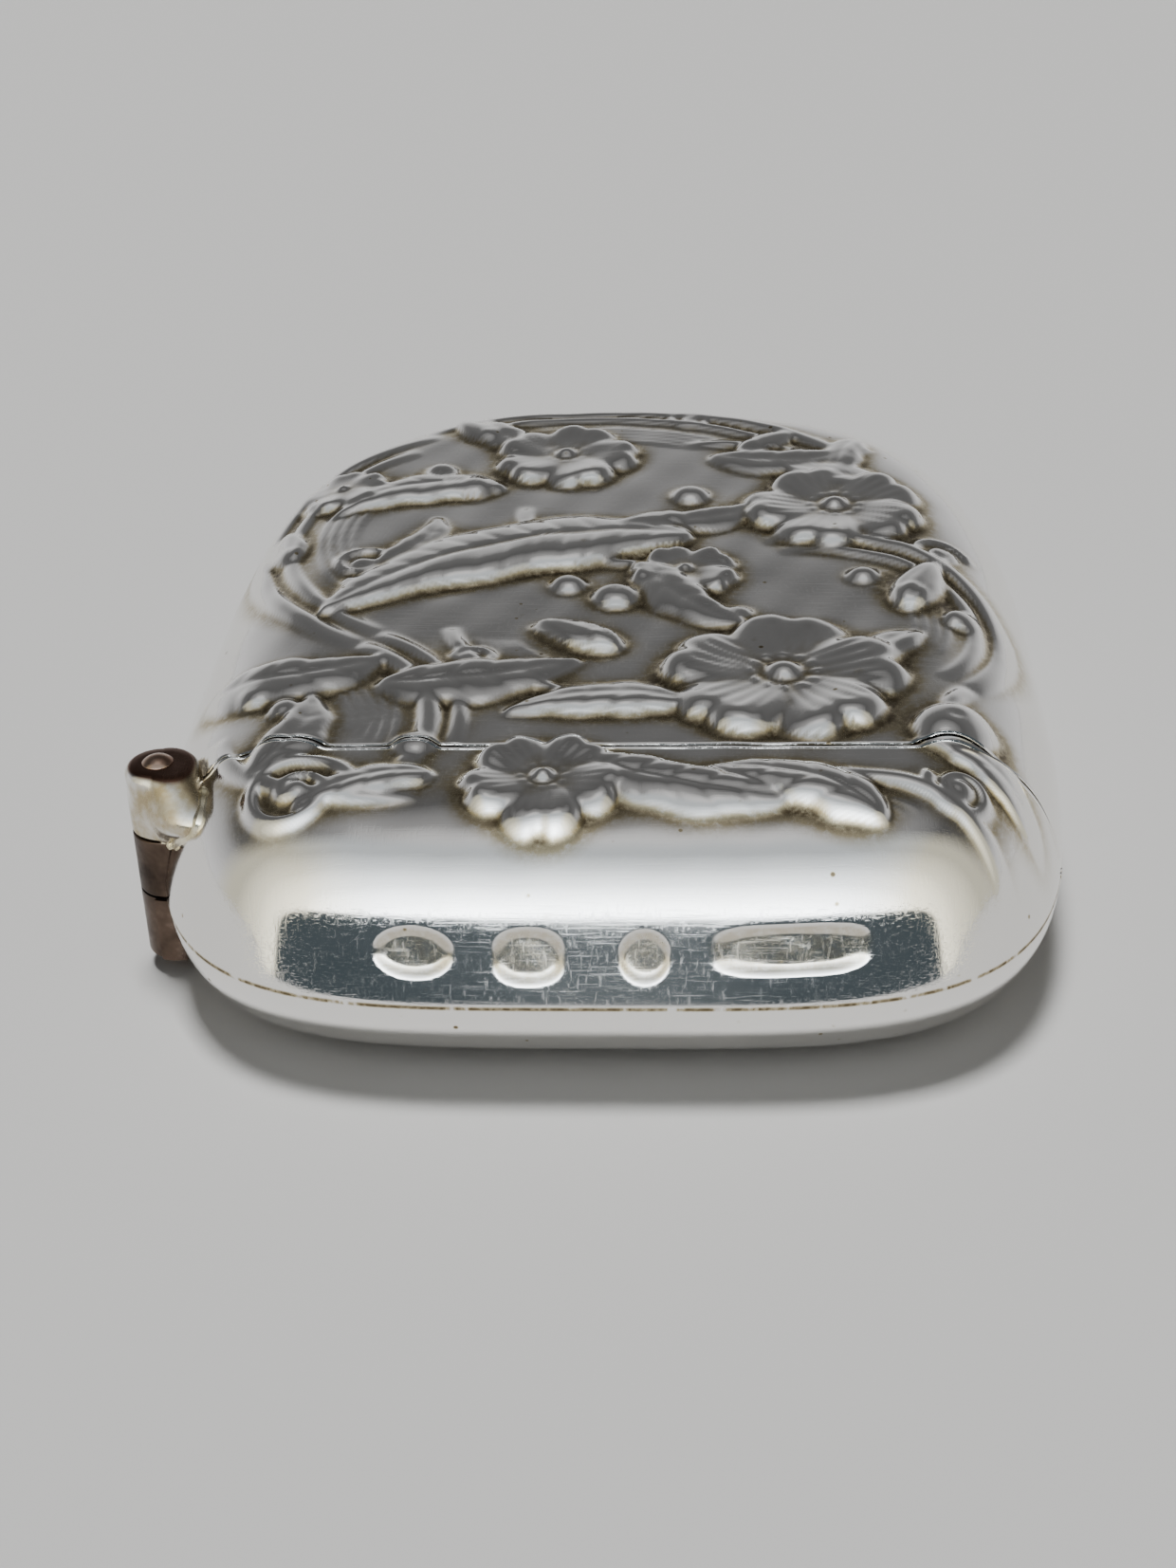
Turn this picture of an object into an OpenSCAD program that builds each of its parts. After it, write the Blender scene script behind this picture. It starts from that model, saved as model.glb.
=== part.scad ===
// Match safe: a pocket case of stamped silver sheet that lies on its back.
// The lid end points to -Y, the hinge is on the -X side, and the back rests on Z = 0.
// Millimetres. The origin is the centre of the flat back.

/* [Case] */
// Width across the sides, without the hinge
case_w = 40; // [36:0.5:46]
// Length from the lid end to the base end
case_l = 51; // [46:0.5:60]
// Thickness between the plain faces, without the stamped relief
case_t = 11; // [10:0.25:13]
// Height of the soldered join between the two halves; the front half is the deeper one
join_z = 4.6; // [4.3:0.1:5.5]
// How far the rounded edge runs in from the outline
edge_run = 6.7; // [5.5:0.1:8]
// Fullness of the rounded edge: 2 is an ellipse, more is squarer
edge_power = 2.15; // [2:0.05:2.5]
// Distance of the widest line from the lid end
widest = 24; // [22:0.5:27]
// Squareness of the outline at the lid end: 2 is an ellipse
lid_square = 4; // [3.4:0.1:4.6]
// Squareness of the outline at the base end
base_square = 3.05; // [2.8:0.05:3.8]

/* [Sheet] */
// Thickness of the silver sheet
sheet = 0.5; // [0.4:0.05:0.6]
// Length of the lid along the case
lid_l = 9.8; // [9:0.1:12]
// Gap between the lid's edge and the body's edge when shut
seam_gap = 0.12; // [0.08:0.01:0.2]

/* [Mouth collar] */
// Thickness of the collar's strip
collar_t = 0.4; // [0.3:0.05:0.5]
// How far the collar stands out of the body into the lid
collar_stand = 1.2; // [0.8:0.1:1.8]
// How far the collar reaches down into the body
collar_depth = 2.4; // [1.8:0.1:3]
// Gap between the collar and the lid's inner wall
collar_gap = 0.15; // [0.12:0.01:0.25]

/* [Hinge] */
// Outer radius of the knuckles
barrel_r = 1.45; // [1.2:0.05:1.6]
// Radius of the hinge pin
pin_r = 0.55; // [0.45:0.05:0.7]
// Radius of the pin's domed heads
head_r = 0.7; // [0.6:0.05:0.85]
// Height of the pin's domed heads
head_h = 0.3; // [0.2:0.05:0.45]
// Running gap between the pin and the body's knuckle
pin_gap = 0.05; // [0.03:0.01:0.08]
// Distance of the hinge axis in from the side of the case
axis_in = 0.9; // [0.7:0.05:1.1]
// Distance of the hinge axis behind the lid's edge
axis_back = 0.4; // [0.3:0.05:0.6]
// Distance of the barrel's ends from the two faces
barrel_end = 0.9; // [0.7:0.05:1.3]
// Length of the body's middle knuckle
middle_l = 2.8; // [2.4:0.1:3.4]
// Gap between neighbouring knuckles
knuckle_gap = 0.08; // [0.05:0.01:0.12]
// Gap between a knuckle and the sheet that it turns past
notch_gap = 0.15; // [0.12:0.01:0.2]
// How far the saddle behind a lid knuckle reaches in from the axis
saddle_in = 1.9; // [1.8:0.05:2.1]
// Width of that saddle along the case
saddle_w = 0.8; // [0.7:0.05:1]
// Where the body knuckle's solder seat starts and ends round the barrel, from the +X side
body_seat_from = 15; // [10:1:20]
body_seat_to = 105; // [98:1:108]
// Where the lid knuckles' solder seats start and end round the barrel
lid_seat_from = -112; // [-114:1:-104]
lid_seat_to = -17; // [-20:1:-12]

/* [Snap spring] */
// Thickness of the lid's heel plate
heel_t = 0.5; // [0.4:0.05:0.6]
// Length of the heel past the hinge axis
heel_l = 1.2; // [0.9:0.05:1.4]
// Height of the heel plate
heel_h = 4.6; // [4.2:0.1:4.8]
// Thickness of the spring strip
spring_t = 0.3; // [0.25:0.05:0.4]
// Width of the spring strip
spring_w = 4; // [3.4:0.1:4.6]
// Length of the spring strip along the case
spring_l = 19; // [17:0.5:22]
// Straight run of the spring past the heel, before its bend
spring_run = 2.5; // [2:0.1:3.5]
// Length of the spring's riveted foot
foot_l = 6; // [5:0.5:8]
// How far the foot's pad holds the spring off the wall
pad_t = 1.1; // [0.9:0.05:1.3]
// Gap between the spring and the heel's corner as it passes
spring_gap = 0.1; // [0.08:0.01:0.15]
// Radius of the spring's rivets
rivet_r = 0.45; // [0.35:0.05:0.55]
// Distance of the rivets from the ends of the foot
rivet_in = 1.7; // [1.2:0.1:2]
// Depth of the rivets into the pad
rivet_l = 0.5; // [0.3:0.05:0.6]
// Radius of the rivets' heads
rivet_head_r = 0.7; // [0.6:0.05:0.8]
// Height of the rivets' heads
rivet_head = 0.3; // [0.2:0.05:0.4]

/* [Striker] */
// Width of the striker strip
striker_w = 14; // [10:0.5:14.5]
// Height of the striker strip
striker_h = 3.2; // [2.4:0.1:3.4]
// Depth of the flat across the base end, which the striker fills
striker_seat = 0.6; // [0.5:0.05:0.8]
// Number of ribs on the striker
striker_ribs = 18; // [12:1:24]
// Depth of the grooves between the striker's ribs
rib_depth = 0.3; // [0.15:0.05:0.4]

/* [Relief] */
// Height of the tallest stamped petals above the face
relief_h = 1; // [0.6:0.05:1.3]
// Facets across the flat of the relief
relief_cols = 36; // [24:2:40]
// Facets along each quarter of the body's relief
relief_rows = 11; // [8:1:12]
// Facets round each rounded edge
edge_steps = 7; // [6:1:9]

/* [Hidden] */
$fn = 48;
mid_z = case_t / 2;
lid_end = -case_l / 2;
base_end = case_l / 2;
widest_y = lid_end + widest;
lid_edge = lid_end + lid_l;
body_edge = lid_edge + seam_gap;
// The lid end closes with a flat this deep
lid_trim = 0.05;
// Rows of facets round the hinge's notch
notch_steps = 7;
// Play of a knuckle's solder seat in the notch
seat_play = 0.004;
// Solder between the spring's pad and the wall
pad_gap = 0.05;
axis_x = -case_w / 2 + axis_in;
axis_y = lid_edge + axis_back;
middle_low = mid_z - middle_l / 2;
middle_high = mid_z + middle_l / 2;
barrel_top = case_t - barrel_end;
// The heel lies against the lid's saddles, and its corner sweeps this circle about the axis
heel_corner = sqrt(pow(saddle_in + heel_t, 2) + pow(heel_l, 2));
heel_sweep = heel_corner + spring_gap;
// The heel and the spring sit between the middle of the thickness and the join
snap_z = (2 * mid_z + join_z) / 3;
spring_x = axis_x + heel_sweep;
blade_end = axis_y + heel_l + spring_run;
foot_end = body_edge + spring_l;
notch_r = barrel_r + notch_gap;

// The case's surface, at a depth o under its outer skin

function half_a(o) = case_w / 2 - o;
function half_b(y, o) = (y < widest_y ? widest : case_l - widest) - o;
function squareness(y) = y < widest_y ? lid_square : base_square;
function half_width(y, o) = let (e = squareness(y), s = abs(y - widest_y) / half_b(y, o))
    half_a(o) * pow(max(0, 1 - pow(s, e)), 1 / e);
// Distance in from the outline, exact at the sides and the ends
function inset(x, y, o) = let (e = squareness(y),
    sx = abs(x) / half_a(o), sy = abs(y - widest_y) / half_b(y, o),
    rho = pow(pow(sx, e) + pow(sy, e), 1 / e))
    rho < 0.02 ? case_w : let (
    gx = pow(sx / rho, e - 1) / half_a(o), gy = pow(sy / rho, e - 1) / half_b(y, o))
    max(0, 1 - rho) / norm([gx, gy]);
// Depth of a half from the join to its face: side is 1 for the front half, -1 for the back
function half_t(side, o) = (side > 0 ? case_t - join_z : join_z) - o;
// Share of that depth which a rounded edge has reached at s in from the outline
function edge_share(s, o) = s >= edge_run - o ? 1
    : pow(max(0, 1 - pow(1 - s / (edge_run - o), edge_power)), 1 / edge_power);
function face_share(x, y, o) = edge_share(inset(x, y, o), o);
// Insets of the edge's facets, closer together where the edge is steep
function edge_inset(k, o) = (edge_run - o) * (1 - pow(cos(90 * k / edge_steps), 2 / edge_power));

// The stamped relief, drawn on a die of 40 by 51 and stretched to the case

die_w = 40;
die_l = 51;
// Flowers: centre x, centre y from the lid end, radius, turn, height share, petals
FLOWERS = [[-2.4, 6.9, 3.5, 54, 0.8, 5], [7.6, 15.6, 5.6, 12, 1, 5], [10.6, 33.4, 4.7, 36, 0.85, 5],
    [-3.2, 40.2, 3.9, 0, 0.75, 5], [-14.6, 36.4, 2.5, 20, 0.6, 5], [3.2, 26.2, 2.7, 40, 0.7, 5]];
// Leaves: centre x and y of the bow, its radius, first and last angle, half width, height share
LEAVES = [[1.6, 11.6, 18.6, 84, 146, 3, 0.95], [7.4, 19.6, 14, 232, 274, 1.7, 0.8],
    [-15, 21.6, 6.2, 240, 322, 1.9, 0.8], [-8.5, 29.6, 7, 70, 150, 1.7, 0.65],
    [-8.5, 27.2, 12.2, 262, 306, 1.9, 0.75], [4, 27, 12.4, 38, 74, 1.7, 0.65],
    [3.6, -3.5, 11.2, 46, 88, 1.6, 0.85], [17.6, 13.4, 7.4, 120, 178, 1.3, 0.6],
    [-2, 47.4, 6.4, 196, 262, 1.3, 0.5], [8, 46, 6.8, 238, 316, 1.5, 0.55],
    [-20.4, 12.8, 7.6, 318, 372, 1.4, 0.65], [17.4, 38.6, 6.4, 140, 214, 1.2, 0.5],
    [0.4, 3.4, 10.4, 72, 118, 1.5, 0.7], [10, 28.2, 8.6, 186, 246, 1.5, 0.7],
    [-14.4, 31.8, 5.2, 300, 372, 1.2, 0.55], [12, 3, 7.2, 34, 84, 1.2, 0.55],
    [2.6, 37.4, 5.6, 250, 330, 1.3, 0.55], [-6.6, -2.4, 9.8, 92, 128, 1.2, 0.6]];
// Stems: centre x and y of the bow, its radius, first and last angle, half width, height share
STEMS = [[-3.5, 31, 14.4, 118, 236, 0.7, 0.36], [-16.6, 11.6, 9, -24, 56, 0.7, 0.36],
    [8.6, 21, 9.2, -40, 100, 0.7, 0.36], [19.5, 11.9, 5, 140, 226, 0.6, 0.3],
    [-2, 30, 16.9, 34, 124, 0.7, 0.34], [-9.6, 13.2, 7.4, 190, 286, 0.6, 0.32],
    [9.6, -1.8, 9.2, 40, 116, 0.6, 0.3], [1.5, 33.5, 6.4, 176, 300, 0.6, 0.28]];
// Buds: centre x and y, half length, half width, turn, height share
BUDS = [[14.2, 24.6, 2.6, 1.3, 70, 0.8], [-8.2, 44, 2, 1, 130, 0.55], [1.4, 31.6, 2.3, 1.1, 200, 0.65],
    [-16.6, 30.4, 2.2, 1.1, 100, 0.6], [7.4, 41.8, 2, 1, 40, 0.55], [-1.6, 19.6, 2.4, 1.2, 150, 0.75]];
// Berries: centre x, centre y from the lid end, radius, height share
BERRIES = [[14.7, 11.2, 1.9, 0.95], [-7.7, 36.2, 1.1, 0.6], [0, 23.6, 1.2, 0.65], [-2.3, 25, 0.9, 0.5],
    [15.9, 21.6, 0.9, 0.5], [-15.6, 14.6, 1.1, 0.6], [3.4, 35.2, 1, 0.5], [-8, 9.9, 1, 0.5]];

function turn_from(a, start) = (a - start) - 360 * floor((a - start) / 360);
// A petal is a rounded cup that rises outwards and leans to one side
function petal_h(along, across) = let (
    reach = along > 0.56 ? 0.44 : 0.6,
    q = pow(pow(abs(across) / 0.5, 2.4) + pow(abs(along - 0.56) / reach, 2.4), 1 / 2.4))
    q >= 1 ? 0 : pow(1 - pow(q, 3.2), 0.75) * (1 + 0.45 * across)
    * (0.4 + 0.22 * q * q + 0.5 * pow(max(0, min(1, (along - 0.1) / 0.75)), 1.5));
function flower_h(u, v, f) = let (dx = (u - f[0]) / f[2], dy = (v - f[1]) / f[2], r = norm([dx, dy]))
    r > 1 ? 0 : f[4] * max(0.85 * sqrt(max(0, 1 - pow(r / 0.2, 2))),
    max([for (k = [1:f[5]]) let (c = cos(f[3] + 360 * k / f[5]), s = sin(f[3] + 360 * k / f[5]))
        petal_h(dx * c + dy * s, dy * c - dx * s)]));
function along_bow(dx, dy, b) = turn_from(atan2(dy, dx), b[3]) / (b[4] - b[3]);
function leaf_h(u, v, b) = let (dx = u - b[0], dy = v - b[1], along = along_bow(dx, dy, b))
    along >= 1 ? 0 : let (swell = pow(sin(180 * pow(along, 0.75)), 0.75),
    share = swell <= 0 ? 2 : (norm([dx, dy]) - b[2]) / (b[5] * swell))
    abs(share) >= 1 ? 0 : b[6] * pow(1 - pow(abs(share), 2.7), 0.68) * (0.4 + 0.55 * swell)
    * (0.78 + 0.22 * pow(abs(share), 1.3)) * (1 - 0.3 * share);
function stem_h(u, v, b) = let (dx = u - b[0], dy = v - b[1], along = along_bow(dx, dy, b),
    share = abs(norm([dx, dy]) - b[2]) / b[5])
    along >= 1 || share >= 1 ? 0
    : b[6] * pow(min(1, 5 * min(along, 1 - along)), 0.6) * pow(1 - pow(share, 2.2), 0.6);
function bud_h(u, v, p) = let (dx = u - p[0], dy = v - p[1],
    along = (dx * cos(p[4]) + dy * sin(p[4])) / p[2],
    across = abs(dy * cos(p[4]) - dx * sin(p[4])) / p[3])
    abs(along) >= 1 ? 0 : let (share = across / (sqrt(1 - along * along) * (0.95 - 0.35 * along)))
    share >= 1 ? 0 : 0.9 * p[5] * sqrt((1 - pow(share, 2.5)) * (1 - pow(along, 4)));
function berry_h(u, v, p) = p[3] * pow(max(0, 1 - pow(norm([u - p[0], v - p[1]]) / p[2], 2)), 0.6);
function relief(x, y) = let (u = x * die_w / case_w, v = (y - lid_end) * die_l / case_l)
    relief_h * max([for (f = FLOWERS) flower_h(u, v, f), for (b = LEAVES) leaf_h(u, v, b),
    for (b = STEMS) stem_h(u, v, b), for (p = BUDS) bud_h(u, v, p), for (p = BERRIES) berry_h(u, v, p)]);

// Sections of the shells: each row is one section across the case, at one y

// The hinge's notch is round in plan, so it moves the left end of the rows that it meets
function notch_x(y) = let (d = pow(notch_r, 2) - pow(y - axis_y, 2))
    d < 0.01 ? -case_w : axis_x + sqrt(d);
function shares(cols, o) = [
    for (k = [0:edge_steps - 1]) -1 + edge_inset(k, o) / half_a(o),
    for (i = [0:cols]) (1 - edge_inset(edge_steps, o) / half_a(o)) * (2 * i / cols - 1),
    for (k = [edge_steps - 1:-1:0]) 1 - edge_inset(k, o) / half_a(o)];
function row(y, o, cols, side, lift) = let (w = half_width(y, o), left = max(-w, notch_x(y)))
    [for (s = shares(cols, o)) let (x = s < 0 ? -s * left : s * w,
        h = s == 1 || (s == -1 && left == -w) ? 0 : face_share(x, y, o))
        [x, y, join_z + side * (half_t(side, o) * h + (lift ? relief(x, y) * min(1, 2 * h) : 0))]];
function end_inset(k, o, trim) = trim + edge_inset(k, o) * (edge_run - o - trim) / (edge_run - o);
function body_rows(rows, o) = let (low = asin((body_edge - axis_y) / notch_r),
    clear_y = axis_y + notch_r)
    [for (k = [0:notch_steps - 1]) axis_y + notch_r * sin(low + (90 - low) * k / notch_steps),
    for (j = [0:rows - 1]) clear_y + (base_end - edge_run - clear_y) * j / rows,
    for (k = [edge_steps:-1:0]) base_end - o - end_inset(k, o, striker_seat)];
function lid_rows(rows, o) = let (low = asin((lid_edge - axis_y) / notch_r),
    clear_y = axis_y - notch_r)
    [for (k = [0:notch_steps - 1]) axis_y + notch_r * sin(low - (90 + low) * k / notch_steps),
    for (j = [0:rows - 1]) clear_y - (clear_y - lid_end - edge_run) * j / rows,
    for (k = [edge_steps:-1:0]) lid_end + o + end_inset(k, o, lid_trim)];

// Faces are written for the front of the body; flip turns them over for its mirror twins
function faced(f, flip) = flip ? [f[2], f[1], f[0]] : f;
function quad(a, b, c, d, flip) = [faced([a, c, b], flip), faced([a, d, c], flip)];
function skin_faces(start, cols, rows, flip) = [
    for (j = [0:rows - 2]) for (i = [0:cols - 2]) let (a = start + j * cols + i)
        for (f = quad(a, a + 1, a + cols + 1, a + cols, flip)) f];
function cap_faces(start, cols, flip) = [
    for (i = [1:cols - 2]) faced([start, start + i + 1, start + i], flip)];

// A half shell: outer skin, inner skin, the rim between them and the lip at the seam.
// Both skins have the same columns; the outer one has `ratio` rows for each plain inner row.
module shell(outer, inner, plain, ratio, flip) {
    cols = len(outer[0]);
    out_n = len(outer);
    in_n = len(inner);
    first_in = cols * out_n;
    function partner(j) = j <= notch_steps ? j
        : j <= notch_steps + plain * ratio ? notch_steps + floor((j - notch_steps) / ratio)
        : j - plain * ratio + plain;
    function rim_faces(col, turn) = [
        for (j = [0:out_n - 2]) let (a = j * cols + col, m = first_in + partner(j) * cols + col,
            n = first_in + partner(j + 1) * cols + col)
            for (f = m == n ? [faced([a, m, a + cols], turn)] : quad(a, a + cols, n, m, turn)) f];
    last_out = cols * (out_n - 1);
    last_in = first_in + cols * (in_n - 1);
    polyhedron([for (r = outer) for (p = r) p, for (r = inner) for (p = r) p], concat(
        skin_faces(0, cols, out_n, flip), skin_faces(first_in, cols, in_n, !flip),
        rim_faces(0, flip), rim_faces(cols - 1, !flip),
        [for (i = [0:cols - 2]) for (f = quad(i + 1, i, first_in + i, first_in + i + 1, flip)) f],
        quad(last_out, last_out + cols - 1, last_in + cols - 1, last_in, flip),
        cap_faces(last_out, cols, flip), cap_faces(last_in, cols, !flip)), convexity = 6);
}
module body_half(side, cols, plain, ratio, lift) {
    shell([for (y = body_rows(plain * ratio, 0)) row(y, 0, cols, side, lift)],
        [for (y = body_rows(plain, sheet)) row(y, sheet, cols, side, false)],
        plain, ratio, side < 0);
}
module lid_half(side, cols, plain, ratio, lift) {
    shell([for (y = lid_rows(plain * ratio, 0)) row(y, 0, cols, side, lift)],
        [for (y = lid_rows(plain, sheet)) row(y, sheet, cols, side, false)],
        plain, ratio, side > 0);
}

// The stamped sheet pieces

module body_front() color("silver") {
    body_half(1, relief_cols, 4, relief_rows, true);
}
module body_back() color("silver") {
    body_half(-1, 2, 4, 2, false);
}
module lid_front() color("silver") {
    lid_half(1, relief_cols, 1, 2, true);
}
module lid_back() color("silver") {
    lid_half(-1, 2, 1, 1, false);
}

// The collar is a ring of strip that follows the inner wall through the mouth

function whole_row(y, o, side) = let (w = half_width(y, o))
    [for (s = shares(2, o))
        [w * s, y, join_z + side * (abs(s) == 1 ? 0 : half_t(side, o) * face_share(w * s, y, o))]];
function ring(y, o) = let (top = whole_row(y, o, 1), low = whole_row(y, o, -1))
    [for (p = top) p, for (i = [len(low) - 2:-1:1]) low[i]];
module tube(rings) {
    n = len(rings[0]);
    last = n * (len(rings) - 1);
    polyhedron([for (r = rings) for (p = r) p], concat(
        [for (j = [0:len(rings) - 2]) for (i = [0:n - 1]) let (a = j * n + i, b = j * n + (i + 1) % n)
            for (f = quad(a, b, b + n, a + n, true)) f],
        [[for (i = [0:n - 1]) i], [for (i = [n - 1:-1:0]) last + i]]), convexity = 4);
}
module mouth_collar() color("gainsboro") {
    skin = sheet + collar_gap;
    low = lid_edge - collar_stand;
    high = body_edge + collar_depth;
    difference() {
        tube([ring(low, skin), ring(lid_edge, skin), ring(body_edge, sheet), ring(high, sheet)]);
        tube([ring(low - 1, skin + collar_t), ring(high + 1, skin + collar_t)]);
        at_axis()
            cylinder(h = case_t, r = heel_sweep);
    }
}

// The striker: a ribbed strip seated on the small flat across the base end

module striker() color("dimgray") {
    pitch = striker_w / striker_ribs;
    // Centred on the flat at the strip's corners, where the flat is lowest
    corner = face_share(striker_w / 2, base_end - striker_seat, 0);
    translate([0, base_end - striker_seat, join_z + (mid_z - join_z) * corner - striker_h / 2])
        linear_extrude(striker_h)
            polygon([[striker_w / 2, 0], [-striker_w / 2, 0],
                for (i = [0:striker_ribs - 1]) let (x = -striker_w / 2 + i * pitch)
                    each [[x, striker_seat - rib_depth], [x + pitch / 2, striker_seat]],
                [striker_w / 2, striker_seat - rib_depth]]);
}

// The hinge and its snap

module at_axis() {
    translate([axis_x, axis_y, 0])
        children();
}
// A pie slice whose arc fills the notch, so that the knuckle seats on the sheet's cut edge
module seat_slice(from, to) {
    far = 3 * notch_r;
    intersection() {
        circle(r = notch_r - seat_play);
        polygon([[0, 0], far * [cos(from), sin(from)],
            far * [cos((from + to) / 2), sin((from + to) / 2)], far * [cos(to), sin(to)]]);
    }
}
module knuckle(low, high, bore_r, from, to) {
    at_axis()
        difference() {
            translate([0, 0, low])
                linear_extrude(high - low)
                    union() {
                        circle(r = barrel_r);
                        seat_slice(from, to);
                    }
            cylinder(h = case_t, r = bore_r);
        }
}
// The block behind a lid knuckle that carries the heel
module saddle(low, high) {
    at_axis()
        difference() {
            translate([0, -axis_back - saddle_w, low])
                cube([saddle_in, saddle_w, high - low]);
            translate([0, 0, -1])
                cylinder(h = case_t + 2, r = (pin_r + barrel_r) / 2);
        }
}
module hinge_knuckle_body() color("rosybrown") {
    knuckle(middle_low, middle_high, pin_r + pin_gap, body_seat_from, body_seat_to);
}
module hinge_knuckle_lid_top() color("lightgray") {
    low = middle_high + knuckle_gap;
    knuckle(low, barrel_top, pin_r, lid_seat_from, lid_seat_to);
    saddle(low, snap_z + heel_h / 2);
}
module hinge_knuckle_lid_bottom() color("tan") {
    high = middle_low - knuckle_gap;
    knuckle(barrel_end, high, pin_r, lid_seat_from, lid_seat_to);
    saddle(snap_z - heel_h / 2, high);
}
module pin_head() {
    // A shallow cap of a ball, riveted over the knuckle's end
    ball_r = (head_r * head_r + head_h * head_h) / (2 * head_h);
    rotate_extrude()
        intersection() {
            translate([0, head_h - ball_r])
                circle(r = ball_r);
            square([head_r, head_h]);
        }
}
module hinge_pin() color("saddlebrown") {
    at_axis() {
        translate([0, 0, barrel_end])
            cylinder(h = barrel_top - barrel_end, r = pin_r);
        translate([0, 0, barrel_top])
            pin_head();
        translate([0, 0, barrel_end])
            mirror([0, 0, 1])
                pin_head();
    }
}
module lid_heel() color("gainsboro") {
    at_axis()
        translate([saddle_in, -saddle_w - axis_back, snap_z - heel_h / 2])
            cube([heel_t, saddle_w + axis_back + heel_l, heel_h]);
}

// The spring's strip in plan: a straight blade beside the heel, a bend, a foot on its pad

foot_x = -half_width(foot_end, sheet) + pad_t;
module snap_spring() color("slategray") {
    difference() {
        translate([0, 0, snap_z - spring_w / 2])
            linear_extrude(spring_w)
                polygon([[spring_x, body_edge], [spring_x, blade_end],
                    [foot_x, foot_end - foot_l], [foot_x, foot_end],
                    [foot_x + spring_t, foot_end], [foot_x + spring_t, foot_end - foot_l],
                    [spring_x + spring_t, blade_end], [spring_x + spring_t, body_edge]]);
        rivet_holes();
    }
}
module at_rivets() {
    for (y = [foot_end - rivet_in, foot_end - foot_l + rivet_in])
        translate([foot_x, y, snap_z])
            rotate([0, 90, 0])
                children();
}
module rivet_holes() {
    at_rivets()
        translate([0, 0, -rivet_l])
            cylinder(h = rivet_l + spring_t + rivet_head, r = rivet_r);
}
// The pad's outer face follows the wall's inner curve, less a line of solder
function edge_depth(z, o) = let (share = abs(z - join_z) / half_t(z - join_z, o))
    (edge_run - o) * (1 - pow(1 - pow(share, edge_power), 1 / edge_power));
function pad_ring(y) = let (o = sheet + pad_gap) concat(
    [for (k = [-2:2]) let (z = snap_z + k * spring_w / 4)
        [edge_depth(z, o) - half_width(y, o), y, z]],
    [[foot_x, y, snap_z + spring_w / 2], [foot_x, y, snap_z - spring_w / 2]]);
module spring_pad() color("gainsboro") {
    difference() {
        tube([for (j = [0:2]) pad_ring(foot_end - foot_l * (1 - j / 2))]);
        rivet_holes();
    }
}
module spring_rivets() color("gainsboro") {
    at_rivets() {
        translate([0, 0, -rivet_l])
            cylinder(h = rivet_l + spring_t, r = rivet_r);
        translate([0, 0, spring_t])
            cylinder(h = rivet_head, r = rivet_head_r);
    }
}

body_front();
body_back();
mouth_collar();
striker();
lid_front();
lid_back();
hinge_knuckle_body();
hinge_knuckle_lid_top();
hinge_knuckle_lid_bottom();
hinge_pin();
lid_heel();
snap_spring();
spring_pad();
spring_rivets();
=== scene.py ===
# %% [markdown]
# A match safe is a flat silver case for matches, small enough for a waistcoat pocket. This one lies on its
# back. Its front is stamped with flowers, leaves and stems, and a lid at one end turns on a small hinge. The
# packed solids give every place and size, and the cells below dress them: the stamped sheet is made again
# with its fine relief, the small parts get soft edges, and each surface gets its silver.

# %% Load the packed case
import math

import bmesh
import bpy
import numpy as np
from mathutils import Matrix, Vector


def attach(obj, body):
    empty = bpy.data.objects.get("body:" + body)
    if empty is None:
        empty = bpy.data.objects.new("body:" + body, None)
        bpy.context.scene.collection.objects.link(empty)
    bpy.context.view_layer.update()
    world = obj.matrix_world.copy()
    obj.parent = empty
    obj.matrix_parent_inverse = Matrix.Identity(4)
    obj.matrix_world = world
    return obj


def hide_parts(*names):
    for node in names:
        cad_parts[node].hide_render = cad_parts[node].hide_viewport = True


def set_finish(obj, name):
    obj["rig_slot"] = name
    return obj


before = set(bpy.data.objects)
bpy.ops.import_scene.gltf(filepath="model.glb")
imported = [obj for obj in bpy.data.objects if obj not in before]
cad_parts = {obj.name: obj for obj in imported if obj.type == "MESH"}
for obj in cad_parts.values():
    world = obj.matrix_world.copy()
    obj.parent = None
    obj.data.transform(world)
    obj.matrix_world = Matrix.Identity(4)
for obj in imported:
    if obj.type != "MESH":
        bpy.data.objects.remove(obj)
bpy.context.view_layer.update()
MM = 0.001

# %% [markdown]
# The photograph was taken from close by, a hand's breadth away and about thirty degrees above the table.
# A camera that near makes the lid end look much wider than the far end, so the place of the camera matters
# as much as its lens. The place, the tilt and the lens below come from a pinhole camera fitted to the
# outline of the case.

# %% The camera
CAMERA_AT = (0.00459, -0.10167, 0.06050)
PITCH, TURN, ROLL = math.radians(30.787), math.radians(3.56), math.radians(-1.973)
IMAGE_HIGH, FOCAL_PIXELS, SENSOR = 1653, 2504.4, 36.0

camera_data = bpy.data.cameras.new("camera")
camera_data.sensor_width = SENSOR
camera_data.lens = FOCAL_PIXELS / IMAGE_HIGH * SENSOR
camera_data.clip_start = 0.005
camera = bpy.data.objects.new("camera", camera_data)
bpy.context.scene.collection.objects.link(camera)
aim = (Matrix.Rotation(TURN, 4, "Z") @ Matrix.Rotation(math.pi / 2 - PITCH, 4, "X")
       @ Matrix.Rotation(ROLL, 4, "Z"))
camera.matrix_world = Matrix.Translation(CAMERA_AT) @ aim
bpy.context.scene.camera = camera
print("lens", round(camera_data.lens, 2), "mm")

# %% [markdown]
# The outline of the case is a rounded rectangle whose ends are squarer than an ellipse: a superellipse. The
# edge falls away in a curve a little fuller than a quarter of an ellipse. The two halves meet in a soldered
# join that lies under the middle, because the stamped front is the deeper half. All of this is formulas, so
# every piece of sheet, outside and inside, can be laid on the same form, at its own depth under the skin.

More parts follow.
